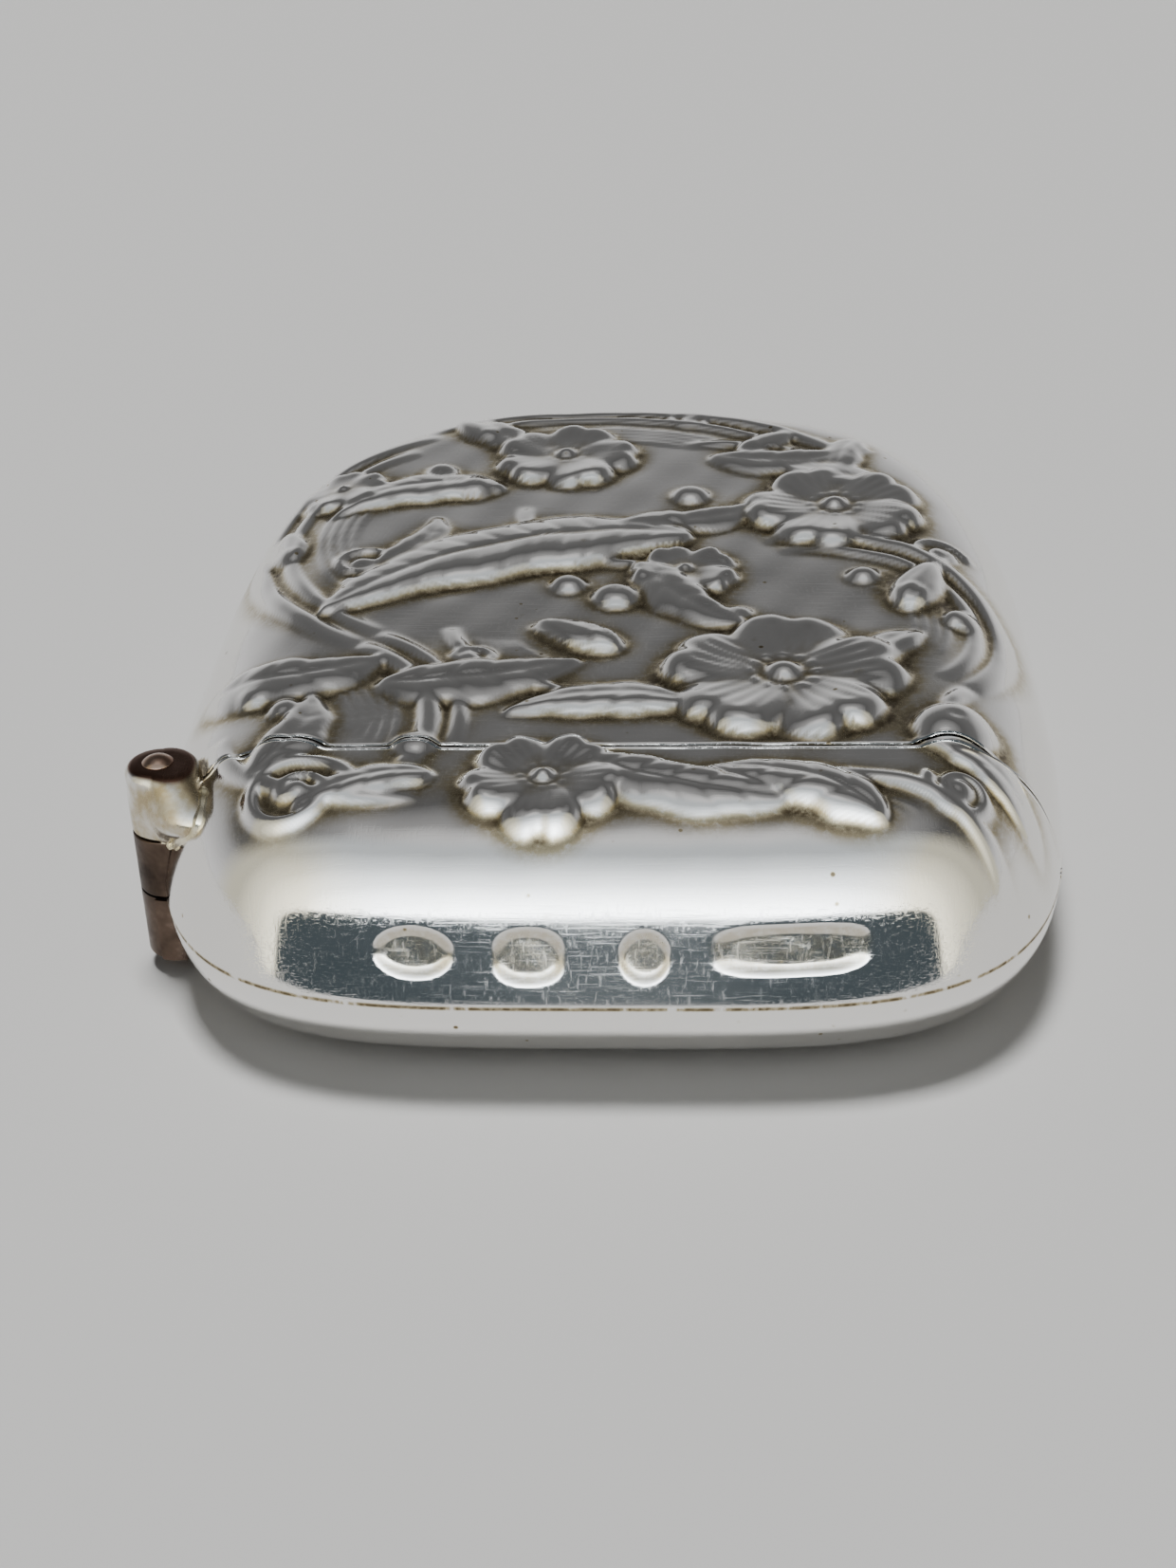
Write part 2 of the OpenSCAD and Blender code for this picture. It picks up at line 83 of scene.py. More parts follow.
# %% The form of the case
CASE_W, CASE_L, CASE_T = 40.0, 51.0, 11.0
EDGE_RUN, EDGE_POWER = 6.7, 2.15
WIDEST, LID_SQUARE, BASE_SQUARE = 24.0, 4.0, 3.05
SHEET, LID_L, SEAM_GAP = 0.5, 9.8, 0.12
MID_Z, JOIN_Z = CASE_T / 2, 4.6
LID_END, BASE_END = -CASE_L / 2, CASE_L / 2
WIDEST_Y = LID_END + WIDEST
LID_EDGE = LID_END + LID_L
BODY_EDGE = LID_EDGE + SEAM_GAP
STRIKER_SEAT = 0.6
LID_PRESSED = 0.6


def edge_share(inset, depth):
    """Share of a half's depth that its rounded edge has reached, that far in from the outline."""
    left = np.clip(1 - inset / (EDGE_RUN - depth), 0, 1)
    return (1 - left ** EDGE_POWER) ** (1 / EDGE_POWER)


def flattened(share, dir_y):
    """How far the lid end was pressed in over its join, where it lay on an anvil for its dishes.

    The two powers put the deepest place a little over the join, and leave the join and the front alone.
    """
    lid_side = np.clip(-dir_y * 1.6 - 0.6, 0, 1)
    return LID_PRESSED * (CASE_T - JOIN_Z) * share ** 1.2 * (1 - share) ** 1.7 * lid_side


def on_case(side_x, side_y, rho, depth, front=True):
    """Places and edge shares for directions on a square ring, rho from the middle (0) to the outline (1)."""
    square = np.where(side_y < 0, LID_SQUARE, BASE_SQUARE)
    half_a = CASE_W / 2 - depth
    half_b = np.where(side_y < 0, WIDEST, CASE_L - WIDEST) - depth
    size = (np.abs(side_x) ** square + np.abs(side_y) ** square) ** (1 / square)
    dir_x, dir_y = side_x / size, side_y / size
    steep = np.hypot(np.abs(dir_x) ** (square - 1) / half_a, np.abs(dir_y) ** (square - 1) / half_b)
    share = edge_share((1 - rho) / steep, depth)
    rho = rho - steep * flattened(share, dir_y) * front
    return dir_x * rho * half_a, WIDEST_Y + dir_y * rho * half_b, share


print("case", CASE_W, "x", CASE_L, "x", CASE_T, "mm; lid", LID_L, "mm")

# %% [markdown]
# The relief is drawn on a die, with places in millimetres from the middle line and from the lid end. Each
# flower, leaf, stem, bud, berry, tendril and set of chased lines is a small height field, and the die keeps
# the highest of them at each point, as overlapping forms do on a real die. Sculpting by hand would also
# work, but formulas can be changed one number at a time. The tables say where each form goes.

# %% The places on the die
# Flowers: x, y, radius, turn, height, petals
FLOWERS = [(-2.4, 6.9, 3.5, 54, 0.8, 5), (7.6, 15.6, 5.6, 12, 1, 5), (10.6, 33.4, 4.7, 36, 0.85, 5),
           (-3.2, 40.2, 3.9, 0, 0.75, 5), (-14.6, 36.4, 2.5, 20, 0.6, 5), (3.2, 26.2, 2.7, 40, 0.7, 5)]
# Leaves: x and y of the bow's centre, its radius, first and last angle, half width, height
LEAVES = [(1.6, 11.6, 18.6, 84, 146, 3, 0.95), (7.4, 19.6, 14, 232, 274, 1.7, 0.8),
          (-15, 21.6, 6.2, 240, 322, 1.9, 0.8), (-8.5, 29.6, 7, 70, 150, 1.7, 0.65),
          (-8.5, 27.2, 12.2, 262, 306, 1.9, 0.75), (4, 27, 12.4, 38, 74, 1.7, 0.65),
          (3.6, -3.5, 11.2, 46, 88, 1.6, 0.85), (17.6, 13.4, 7.4, 120, 178, 1.3, 0.6),
          (-2, 47.4, 6.4, 196, 262, 1.3, 0.5), (8, 46, 6.8, 238, 316, 1.5, 0.55),
          (-20.4, 12.8, 7.6, 318, 372, 1.4, 0.65), (17.4, 38.6, 6.4, 140, 214, 1.2, 0.5),
          (0.4, 3.4, 10.4, 72, 118, 1.5, 0.7), (10, 28.2, 8.6, 186, 246, 1.5, 0.7),
          (-14.4, 31.8, 5.2, 300, 372, 1.2, 0.55), (12, 3, 7.2, 34, 84, 1.2, 0.55),
          (2.6, 37.4, 5.6, 250, 330, 1.3, 0.55), (-6.6, -2.4, 9.8, 92, 128, 1.2, 0.6)]
# Stems: as leaves
STEMS = [(-3.5, 31, 14.4, 118, 236, 0.6, 0.36), (-3.5, 31, 12.9, 126, 236, 0.45, 0.25),
         (-16.6, 11.6, 9, -24, 56, 0.55, 0.36), (-16.6, 11.6, 10.3, -10, 56, 0.4, 0.25),
         (8.6, 21, 9.2, -40, 100, 0.6, 0.36), (8.6, 21, 7.9, -40, 96, 0.45, 0.25),
         (19.5, 11.9, 5, 140, 226, 0.5, 0.3), (-2, 30, 16.9, 34, 124, 0.6, 0.34),
         (-2, 30, 15.6, 40, 118, 0.4, 0.24), (-9.6, 13.2, 7.4, 190, 286, 0.5, 0.32),
         (9.6, -1.8, 9.2, 40, 116, 0.5, 0.3), (1.5, 33.5, 6.4, 176, 300, 0.45, 0.28),
         (0, 22, 7.6, 190, 262, 0.4, 0.28), (4.4, 34, 8, 20, 100, 0.4, 0.24)]
# Chased lines, in sets side by side: as stems, then how many and how far apart
HATCHES = [(-3.5, 31, 11.4, 150, 214, 0.16, 0.09, 4, 0.55), (8.6, 21, 6.6, -26, 60, 0.16, 0.09, 4, 0.5),
           (-16.6, 11.6, 7.6, -16, 44, 0.15, 0.09, 5, 0.5), (-2, 30, 14.3, 56, 104, 0.16, 0.08, 4, 0.5),
           (0, 22, 6.6, 200, 256, 0.14, 0.08, 4, 0.45), (9.6, -1.8, 7.9, 66, 110, 0.14, 0.08, 3, 0.45)]
# Tendrils: x, y, first radius, last radius, first angle, turns, half width, height
TENDRILS = [(-12.6, 6.4, 2.4, 0.5, 20, 1.6, 0.36, 0.34), (14.6, 7, 1.4, 0.35, 150, 1.5, 0.3, 0.28),
            (-12.4, 27.4, 2, 0.4, 250, 1.5, 0.34, 0.3), (3.4, 45.4, 1.3, 0.3, 90, 1.4, 0.28, 0.22),
            (15.4, 28.6, 1.5, 0.3, 10, 1.4, 0.3, 0.26), (-6.4, 17.6, 1.4, 0.3, 200, 1.4, 0.3, 0.28)]
# Buds: x, y, length, half width, turn, height
BUDS = [(14.2, 24.6, 2.6, 1.3, 70, 0.8), (-8.2, 44, 2, 1, 130, 0.55), (1.4, 31.6, 2.3, 1.1, 200, 0.65),
        (-16.6, 30.4, 2.2, 1.1, 100, 0.6), (7.4, 41.8, 2, 1, 40, 0.55), (-1.6, 19.6, 2.4, 1.2, 150, 0.75)]
# Berries: x, y, radius, height
BERRIES = [(14.7, 11.2, 1.9, 0.95), (-7.7, 36.2, 1.1, 0.6), (-9.6, 38.4, 0.9, 0.5), (0, 23.6, 1.2, 0.65),
           (-2.3, 25, 0.9, 0.5), (15.9, 21.6, 0.9, 0.5), (-15.6, 14.6, 1.1, 0.6), (-14, 13, 0.8, 0.45),
           (3.4, 35.2, 1, 0.5), (11.6, 25.8, 0.8, 0.45), (-8, 9.9, 1, 0.5), (5.6, 21.8, 0.8, 0.4)]
print(len(FLOWERS), "flowers,", len(LEAVES), "leaves,", len(STEMS), "stems,", len(BERRIES), "berries")

# %% [markdown]
# A flower is a ring of rounded petals round a domed centre with a circle of seeds. Each petal is a rounded
# square that leans to one side, with a raised rim and fine lines that fan out, because a rim and lines catch
# the light on polished silver where a smooth pad would not.

# %% Flowers
def bell(x, width):
    return np.exp(-(x / width) ** 2)


def cut_line(x, width):
    """A narrow chased groove that comes round once in each whole number."""
    return bell(x - np.round(x), width)


def flower(u, v, x, y, radius, turn, height, petals):
    du, dv = (u - x) / radius, (v - y) / radius
    out = np.zeros_like(u)
    for k in range(petals):
        angle = math.radians(turn + 360 * k / petals)
        along = du * math.cos(angle) + dv * math.sin(angle)
        across = dv * math.cos(angle) - du * math.sin(angle)
        tip = along + 0.07 * bell(across, 0.1)
        reach = np.where(tip > 0.56, 0.44, 0.6)
        q = ((np.abs(across) / 0.5) ** 2.4 + (np.abs(tip - 0.56) / reach) ** 2.4) ** (1 / 2.4)
        form = np.clip(1 - q ** 3.2, 0, 1) ** 0.75
        bowl = 0.4 + 0.22 * np.clip(q, 0, 1) ** 2 + 0.5 * np.clip((along - 0.1) / 0.75, 0, 1) ** 1.5
        lines = 1 - 0.1 * cut_line(across / (0.13 * (0.4 + np.abs(along))), 0.16) * (along < 0.72)
        lean = 1 + 0.45 * across
        out = np.maximum(out, form * bowl * lines * lean)
    r = np.hypot(du, dv)
    ring = np.arctan2(dv, du)
    boss = 0.85 * np.sqrt(np.clip(1 - (r / 0.17) ** 2, 0, 1))
    seeds = 0.66 * np.clip(0.5 + 0.5 * np.cos(12 * ring), 0, 1) ** 0.5 * bell(r - 0.26, 0.045)
    return height * np.maximum(out, np.maximum(boss, seeds))


def highest(form, places):
    """The highest point of some forms of one kind, in millimetres, to print."""
    u, v = np.meshgrid(np.linspace(-20, 20, 201), np.linspace(0, 51, 256))
    return round(max(float(form(u, v, *values).max()) for values in places), 2)


print("flowers up to", highest(flower, FLOWERS), "mm")

# %% [markdown]
# Leaves, stems and chased lines all follow a bow, which is a piece of a circle, because plants on such dies
# hardly ever run straight. A leaf swells along its bow and has a rib and side veins. A stem is a round bar
# that tapers at both ends, and a set of chased lines is a few thin stems side by side.

# %% Leaves, stems and chased lines
def bow_place(u, v, x, y, radius, start, end):
    """How far along the bow a point lies, from 0 to 1, and how far to the side of it."""
    du, dv = u - x, v - y
    along = np.mod(np.degrees(np.arctan2(dv, du)) - start, 360) / (end - start)
    return along, np.hypot(du, dv) - radius


def leaf(u, v, x, y, radius, start, end, half, height):
    along, side = bow_place(u, v, x, y, radius, start, end)
    inside = along < 1
    along = np.clip(along, 0, 1)
    swell = np.sin(math.pi * along ** 0.75) ** 0.75
    wave = 1 + 0.06 * np.sin(2 * math.pi * along * 3.5 + x)
    share = np.where(swell > 0, side / np.maximum(half * swell * wave, 1e-6), 2)
    form = np.clip(1 - np.abs(share) ** 2.7, 0, 1) ** 0.68
    count = max(5, round(math.radians(end - start) * radius / 1.5))
    veins = 1 - 0.09 * cut_line(along * count - 0.8 * np.abs(share), 0.1) * (np.abs(share) > 0.08)
    fold = 0.78 + 0.22 * np.abs(np.clip(share, -1, 1)) ** 1.3 - 0.14 * bell(share, 0.06)
    lean = 1 - 0.3 * np.clip(share, -1, 1)
    top = height * form * veins * fold * lean * (0.4 + 0.55 * swell)
    return np.where(inside & (np.abs(share) < 1), top, 0)


def stem(u, v, x, y, radius, start, end, half, height):
    along, side = bow_place(u, v, x, y, radius, start, end)
    taper = np.clip(np.minimum(along, 1 - along) * 5, 0, 1) ** 0.6
    share = np.abs(side) / half
    return np.where(along < 1, height * taper * np.clip(1 - share ** 2.2, 0, 1) ** 0.6, 0)


def hatch(u, v, x, y, radius, start, end, half, height, count, gap):
    lines = [stem(u, v, x, y, radius - gap * k, start + 3 * k, end - 2 * k, half, height)
             for k in range(count)]
    return np.maximum.reduce(lines)


print("leaves up to", highest(leaf, LEAVES), "mm, stems up to", highest(stem, STEMS), "mm")

# %% [markdown]
# A tendril is a stem that winds in to a small knob. A bud is a pointed egg with folded petals and a thicker
# foot, and a berry is a dome with a dimple. The die is then the highest of all the forms at each point.

# %% Tendrils, buds and berries
def tendril(u, v, x, y, first, last, start, turns, half, height):
    du, dv = u - x, v - y
    r = np.hypot(du, dv)
    angle = np.mod(np.degrees(np.arctan2(dv, du)) - start, 360) / 360
    out = np.zeros_like(u)
    for lap in range(math.ceil(turns)):
        along = (angle + lap) / turns
        share = np.abs(r - (first + (last - first) * along)) / (half * (1.15 - 0.5 * along))
        out = np.where(along < 1, np.maximum(out, np.clip(1 - share ** 2.2, 0, 1) ** 0.6), out)
    knob = np.clip(1 - (r / (1.9 * half)) ** 2, 0, 1) ** 0.5
    return height * np.maximum(out, 1.2 * knob)


def bud(u, v, x, y, length, half, turn, height):
    angle = math.radians(turn)
    along = ((u - x) * math.cos(angle) + (v - y) * math.sin(angle)) / length
    across = ((v - y) * math.cos(angle) - (u - x) * math.sin(angle)) / half
    width = np.clip(1 - along ** 2, 0, 1) ** 0.5 * np.clip(0.95 - 0.35 * along, 0, 1)
    share = np.abs(across) / np.maximum(width, 1e-6)
    form = np.clip(1 - share ** 2.5, 0, 1) ** 0.5 * np.clip(1 - along ** 4, 0, 1) ** 0.5
    folds = 1 - 0.16 * cut_line(across / np.maximum(width, 1e-6) * 1.5 + 0.5 + 0.4 * along, 0.1)
    sepal = 1 + 0.12 * (along < -0.35 - 0.25 * np.abs(across))
    return np.where(np.abs(along) < 1, height * form * folds * sepal * 0.9, 0)


def berry(u, v, x, y, radius, height):
    r = np.hypot(u - x, v - y) / radius
    return height * (np.clip(1 - r ** 2, 0, 1) ** 0.6 - 0.12 * bell(r, 0.16))


DIE_FORMS = [(flower, FLOWERS), (leaf, LEAVES), (stem, STEMS), (hatch, HATCHES), (tendril, TENDRILS),
             (bud, BUDS), (berry, BERRIES)]


def die_height(u, v):
    top = np.zeros_like(u)
    for form, places in DIE_FORMS:
        for values in places:
            top = np.maximum(top, form(u, v, *values))
    return top


print("buds up to", highest(bud, BUDS), "mm;", sum(len(places) for _, places in DIE_FORMS), "forms in all")

# %% [markdown]
# A sheet that is pressed over a die can't follow it into every corner: it rounds each step by about its own
# thickness. So the die is drawn once, as a fine square of heights, and blurred a little before the sheet
# reads it. A wider blur also tells where the hollows are: where the sheet lies well under it. Polishing rubs
# the high parts bright and leaves the hollows dark, so that share is kept on each vertex for the material.

# %% Draw the die and find its hollows
DIE_STEP = 0.08
SHEET_BLUR, HOLLOW_REACH, NEAR_REACH = 0.15, 1.0, 1.6
die_u = np.arange(-20, 20 + DIE_STEP, DIE_STEP)
die_v = np.arange(0, 51 + DIE_STEP, DIE_STEP)
die = die_height(*np.meshgrid(die_u, die_v))


def blurred(field, reach):
    """The field averaged over its neighbours, that far in millimetres."""
    steps = int(3 * reach / DIE_STEP)
    weights = bell(np.arange(-steps, steps + 1) * DIE_STEP, reach)
    weights = weights / weights.sum()
    rows = np.apply_along_axis(lambda r: np.convolve(np.pad(r, steps, "edge"), weights, "valid"), 1, field)
    return np.apply_along_axis(lambda c: np.convolve(np.pad(c, steps, "edge"), weights, "valid"), 0, rows)


die_pressed = blurred(die, SHEET_BLUR)
die_hollow = np.clip((blurred(die, HOLLOW_REACH) - die_pressed - 0.02) / 0.17, 0, 1)
die_near = np.clip(blurred(die, NEAR_REACH) / 0.25, 0, 1)


def from_die(field, u, v):
    """Reads a drawn field between its points."""
    fu = np.clip((u - die_u[0]) / DIE_STEP, 0, len(die_u) - 1.001)
    fv = np.clip((v - die_v[0]) / DIE_STEP, 0, len(die_v) - 1.001)
    iu, iv = fu.astype(int), fv.astype(int)
    tu, tv = fu - iu, fv - iv
    return ((field[iv, iu] * (1 - tu) + field[iv, iu + 1] * tu) * (1 - tv)
            + (field[iv + 1, iu] * (1 - tu) + field[iv + 1, iu + 1] * tu) * tv)


WAVES = 0.02


def uneven(x, y):
    """The slight waves that hammering and wear leave in thin sheet."""
    broad = np.sin(1.1 * x + 0.5 * y + 1) * np.sin(0.8 * y - 0.3 * x)
    return WAVES * (broad + 0.6 * np.sin(2.1 * x - 1.3 * y + 2))


print("pressed up to", round(float(die_pressed.max()), 2), "mm")
print("hollow share", round(float(die_hollow.mean()), 3))

# %% [markdown]
# The sheet could be made as one closed lump, but the real case is thin, and the lid opens. So a square grid
# is made with an operator, and its square rings are moved on to the rings of the case: the middle rings lie
# on the front, and the outer ones pass the widest line and go round under the back. The rings are spaced
# evenly over the surface, so that the steep edge gets as many faces as the flat front.

# %% Space the rings and lift the relief
RELIEF_H = 1.0
UNDER_RHO = 0.655


def ring_table(under_end, rings_front, rings_under, depth):
    """rho of each ring, spaced evenly along a line from the middle over the edge to the back."""
    half = CASE_W / 2 - depth
    inset = np.linspace(0, half, 20001) ** 2 / half
    rise = np.diff(edge_share(inset, depth)) * (MID_Z - depth)
    length = np.concatenate([[0], np.cumsum(np.hypot(np.diff(inset), rise))])
    front = np.interp(np.linspace(length[-1], 0, rings_front + 1), length, inset)
    end = np.interp((1 - under_end) * half, inset, length)
    under = np.interp(np.linspace(0, end, rings_under + 1)[1:], length, inset)
    return 1 - np.concatenate([front, under]) / half


def stamped_rise(x, y, share, near):
    """How far the die and the wear lift the front; the relief fades on the steep edge."""
    rise = RELIEF_H * from_die(die_pressed, x, y - LID_END) + (0.3 + near) * uneven(x, y)
    return rise * np.clip(2 * share, 0, 1)


print("rings from the middle", np.round(ring_table(UNDER_RHO, 6, 2, 0), 2))

# %% [markdown]
# Four shallow dishes are pressed into the lid's end, each with a flat floor and a soft rim that catches the
# light along its lower side. They could be cut with a Boolean, but that leaves a sharp rim. So each is a
# rounded shape seen from the end, and a vertex that lies inside it is moved in. Their floors get a khaki
# film of colour that is painted shade and reflection.

# %% Press the dishes
# x, z, half width, half height, squareness
DISHES = [(-7.4, 6.7, 1.75, 1.0, 2), (-2.8, 6.6, 1.55, 1.1, 2.6), (1.8, 6.6, 1.1, 1.05, 2),
          (7.6, 6.8, 3.4, 0.95, 3.4)]
DISH_DEEP, DISH_PAINTED_SHADE = 0.17, 0.3
LID_END_ONLY = LID_END + 4


def dished(x, y, z, hollow):
    """Presses the dishes in, and paints shade on their floors as a thin khaki film."""
    for px, pz, half_w, half_h, power in DISHES:
        r = (np.abs((x - px) / half_w) ** power + np.abs((z - pz) / half_h) ** power) ** (1 / power)
        sunk = np.clip(1.6 * (1 - r ** 2), 0, 1)
        ripple = 1 + 0.07 * np.sin(2.6 * x + 2.3 * z + px)
        sunk = sunk ** 2 * (3 - 2 * sunk) * (y < LID_END_ONLY) * ripple
        y, z = y + DISH_DEEP * sunk, z - 0.3 * DISH_DEEP * sunk
        # Painted shade and reflection: the dish floors get a share of the khaki film colour
        hollow = np.maximum(hollow, DISH_PAINTED_SHADE * np.clip(3 * sunk, 0, 1))
    return y, z, hollow


print(len(DISHES), "dishes,", DISH_DEEP, "mm deep")

# %% [markdown]
# Three skins are laid: the outside of the body, the outside of the lid, and one plain skin for the inside of
# both. The lid is nearest the camera and carries the dishes, so its grid is the finest, and the inside has
# few rings because it is smooth. The back's flat is one face. Two shares are kept on each vertex for the
# material: how much patina the place has, with painted shade added on the dish floors and the filed notch,
# and how much the lid's end was rubbed.

# %% Make the skins of the case
RUBBED_X, RUBBED_WIDE = 0.5, 7.5


def square_grid(name, n):
    """A mesh of n square rings, and the place of each vertex in whole steps from the middle."""
    sheet = bmesh.new()
    bmesh.ops.create_grid(sheet, x_segments=2 * n, y_segments=2 * n, size=1.0)
    mesh = bpy.data.meshes.new(name)
    sheet.to_mesh(mesh)
    sheet.free()
    co = np.empty(len(mesh.vertices) * 3)
    mesh.vertices.foreach_get("co", co)
    return mesh, np.rint(co.reshape(-1, 3)[:, :2] * n)


def case_skin(name, rings_front, rings_under, depth, stamped):
    """The whole skin of the case as a bmesh, with its patina and painted shade kept in a vertex layer."""
    mesh, step = square_grid(name, rings_front + rings_under)
    ring = np.abs(step).max(axis=1)
    safe = np.where(ring > 0, ring, 1)
    side = step / safe[:, None]
    side[ring == 0] = (1, 0)
    rho = ring_table(UNDER_RHO, rings_front, rings_under, depth)[ring.astype(int)]
    x, y, share = on_case(side[:, 0], side[:, 1], rho, depth, ring <= rings_front)
    share[ring == rings_front] = 0
    z = JOIN_Z + share * np.where(ring > rings_front, depth - JOIN_Z, CASE_T - JOIN_Z - depth)
    hollow = np.zeros_like(x)
    rubbed = bell(x - RUBBED_X, RUBBED_WIDE) * np.clip((LID_END + 5 - y) / 3, 0, 1)
    if stamped:
        share = share * (ring <= rings_front)
        hollow = from_die(die_hollow, x, y - LID_END) * np.clip(2 * share, 0, 1)
        near = from_die(die_near, x, y - LID_END) * np.clip(2 * share, 0, 1)
        z = z + stamped_rise(x, y, share, near)
        y, z, hollow = dished(x, y, z, hollow)
    mesh.vertices.foreach_set("co", np.column_stack([x, y, z]).ravel())
    for kept, values in (("hollow", hollow), ("rubbed", rubbed)):
        mesh.attributes.new(kept, "FLOAT", "POINT").data.foreach_set("value", values)
    skin = bmesh.new()
    skin.from_mesh(mesh)
    bpy.data.meshes.remove(mesh)
    back = bmesh.ops.contextual_create(skin, geom=[e for e in skin.edges if e.is_boundary])
    bmesh.ops.recalc_face_normals(skin, faces=skin.faces)
    print(name, len(skin.faces), "faces; back closed by", len(back["faces"]))
    return skin


inner_skin = case_skin("inner_skin", 34, 12, SHEET, False)
body_skin = case_skin("body_skin", *(((134, 28))), 0.0, True)
lid_skin = case_skin("lid_skin", *(((226, 44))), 0.0, True)

# %% [markdown]
# A plane cuts each skin at the seam, as the saw does on the real case, and the body's skin once more at the
# flat of the striker. A bridge between the cut edge of the outside and that of the inside then closes the
# sheet, so lid and body are each one closed wall.

# %% Cut the skins and join them
def cut(skin, y, keep_high):
    """Cuts the skin straight across, and gives the edges of the cut."""
    made = bmesh.ops.bisect_plane(skin, geom=skin.verts[:] + skin.edges[:] + skin.faces[:],
                                  plane_co=(0, y, 0), plane_no=(0, 1, 0), clear_inner=keep_high,
                                  clear_outer=not keep_high, dist=1e-5)
    return [e for e in made["geom_cut"] if isinstance(e, bmesh.types.BMEdge) and e.is_valid]


def part_of_case(name, outer, inner, seam_y, keep_high):
    """Cuts both skins at the seam, and joins them there into one closed sheet."""
    walls = bmesh.new()
    for number, whole in enumerate((outer, inner)):
        skin = whole.copy()
        cut(skin, seam_y, keep_high)
        if keep_high and number == 0:
            edges = cut(skin, BASE_END - STRIKER_SEAT, False)
            bmesh.ops.contextual_create(skin, geom=edges)
        if number == 1:
            bmesh.ops.reverse_faces(skin, faces=skin.faces)
        mesh = bpy.data.meshes.new("wall")
        skin.to_mesh(mesh)
        skin.free()
        walls.from_mesh(mesh)
        bpy.data.meshes.remove(mesh)
    rims = [e for e in walls.edges if e.is_boundary]
    bmesh.ops.bridge_loops(walls, edges=rims)
    bmesh.ops.triangulate(walls, faces=[f for f in walls.faces if len(f.verts) > 4])
    bmesh.ops.recalc_face_normals(walls, faces=walls.faces)
    print(name, len(walls.faces), "faces, open edges", sum(e.is_boundary for e in walls.edges))
    return walls


body_walls = part_of_case("body", body_skin, inner_skin, BODY_EDGE, True)
lid_walls = part_of_case("lid", lid_skin, inner_skin, LID_EDGE, False)
for skin in (body_skin, lid_skin, inner_skin):
    skin.free()

# %% [markdown]
# A finished piece is a mesh in metres whose object sits at the origin. Smooth shading suits the rounded
# forms, and the sharp rim at the seam keeps its edge, because each edge that turns by more than a set angle
# is marked sharp. So is the outline of the flat that the striker is soldered to.

# %% Put a piece in the scene
SHARP, FACES_BASE = math.radians(40), 0.9999


def corner(edge, flat_end):
    """Whether two faces meet at an edge that should look sharp."""
    if len(edge.link_faces) != 2:
        return False
    on_flat = [face.normal.y > FACES_BASE for face in edge.link_faces]
    return edge.calc_face_angle(0) > SHARP or (flat_end and on_flat[0] != on_flat[1])


def piece(name, shape, body, slot, nodes, flat_end=False):
    """Turns a bmesh in millimetres into a piece that rides on a body of the case."""
    bmesh.ops.scale(shape, vec=(MM, MM, MM), verts=shape.verts)
    for face in shape.faces:
        face.smooth = True
    for edge in shape.edges:
        edge.smooth = not corner(edge, flat_end)
    mesh = bpy.data.meshes.new(name)
    shape.to_mesh(mesh)
    shape.free()
    made = bpy.data.objects.new(name, mesh)
    bpy.context.scene.collection.objects.link(made)
    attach(made, body)
    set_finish(made, slot)
    if nodes:
        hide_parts(*nodes)
    print(name, len(mesh.polygons), "faces on", body)
    return made


# %% [markdown]
# The hinge sits in a round notch in the side of the case. The real one is filed out after the halves are
# soldered. A cylinder is taken away from each wall with a Boolean modifier, which is then applied. The body
# has a second, wider one for the front knuckle, which is thicker than the other two and has to turn in it.

# %% File the notch for the hinge
# All in millimetres, like the rest of the case
AXIS_X, AXIS_Y, NOTCH_R = -19.1, -15.3, 1.6
FRONT_NOTCH_R, KNUCKLE_LOW, KNUCKLE_HIGH = 2.05, 6.98, 10.1
TOOL_LONG, NOTCH_SHADE_REACH = 20.0, 0.03


def apply_modifiers(made):
    """Makes what the modifiers show the piece's own mesh."""
    shown = made.evaluated_get(bpy.context.evaluated_depsgraph_get())
    mesh = bpy.data.meshes.new_from_object(shown)
    made.modifiers.clear()
    made.data = mesh


def file_notch(made, radius, low):
    """Files a round notch about the hinge's axis, from a height upwards, and paints shade on its wall."""
    middle = Matrix.Translation((AXIS_X * MM, AXIS_Y * MM, low * MM + TOOL_LONG * MM / 2))
    tool = bmesh.new()
    bmesh.ops.create_cone(tool, cap_ends=True, segments=96, radius1=radius * MM, radius2=radius * MM,
                          depth=TOOL_LONG * MM, matrix=middle)
    mesh = bpy.data.meshes.new("file")
    tool.to_mesh(mesh)
    tool.free()
    cutter = bpy.data.objects.new("file", mesh)
    bpy.context.scene.collection.objects.link(cutter)
    notch = made.modifiers.new("notch", "BOOLEAN")
    notch.operation, notch.solver, notch.object = "DIFFERENCE", "MANIFOLD", cutter
    apply_modifiers(made)
    bpy.data.objects.remove(cutter)
    # The filed wall gets the full patina share, which paints it dark: painted shade for the gap beside the
    # knuckle
    from_axis = [math.hypot(v.co.x / MM - AXIS_X, v.co.y / MM - AXIS_Y) for v in made.data.vertices]
    kept = made.data.attributes["hollow"].data
    for number, reach in enumerate(from_axis):
        if reach < radius + NOTCH_SHADE_REACH:
            kept[number].value = 1.0
    print(made.name, "notched,", len(made.data.polygons), "faces")


case_body = piece("case_body", body_walls, "case", "silver", ["body_front", "body_back"], flat_end=True)
case_lid = piece("case_lid", lid_walls, "lid", "silver", ["lid_front", "lid_back"])
UNDER_THE_CASE = -1
file_notch(case_body, NOTCH_R, UNDER_THE_CASE)
file_notch(case_body, FRONT_NOTCH_R, KNUCKLE_LOW)
file_notch(case_lid, NOTCH_R, UNDER_THE_CASE)

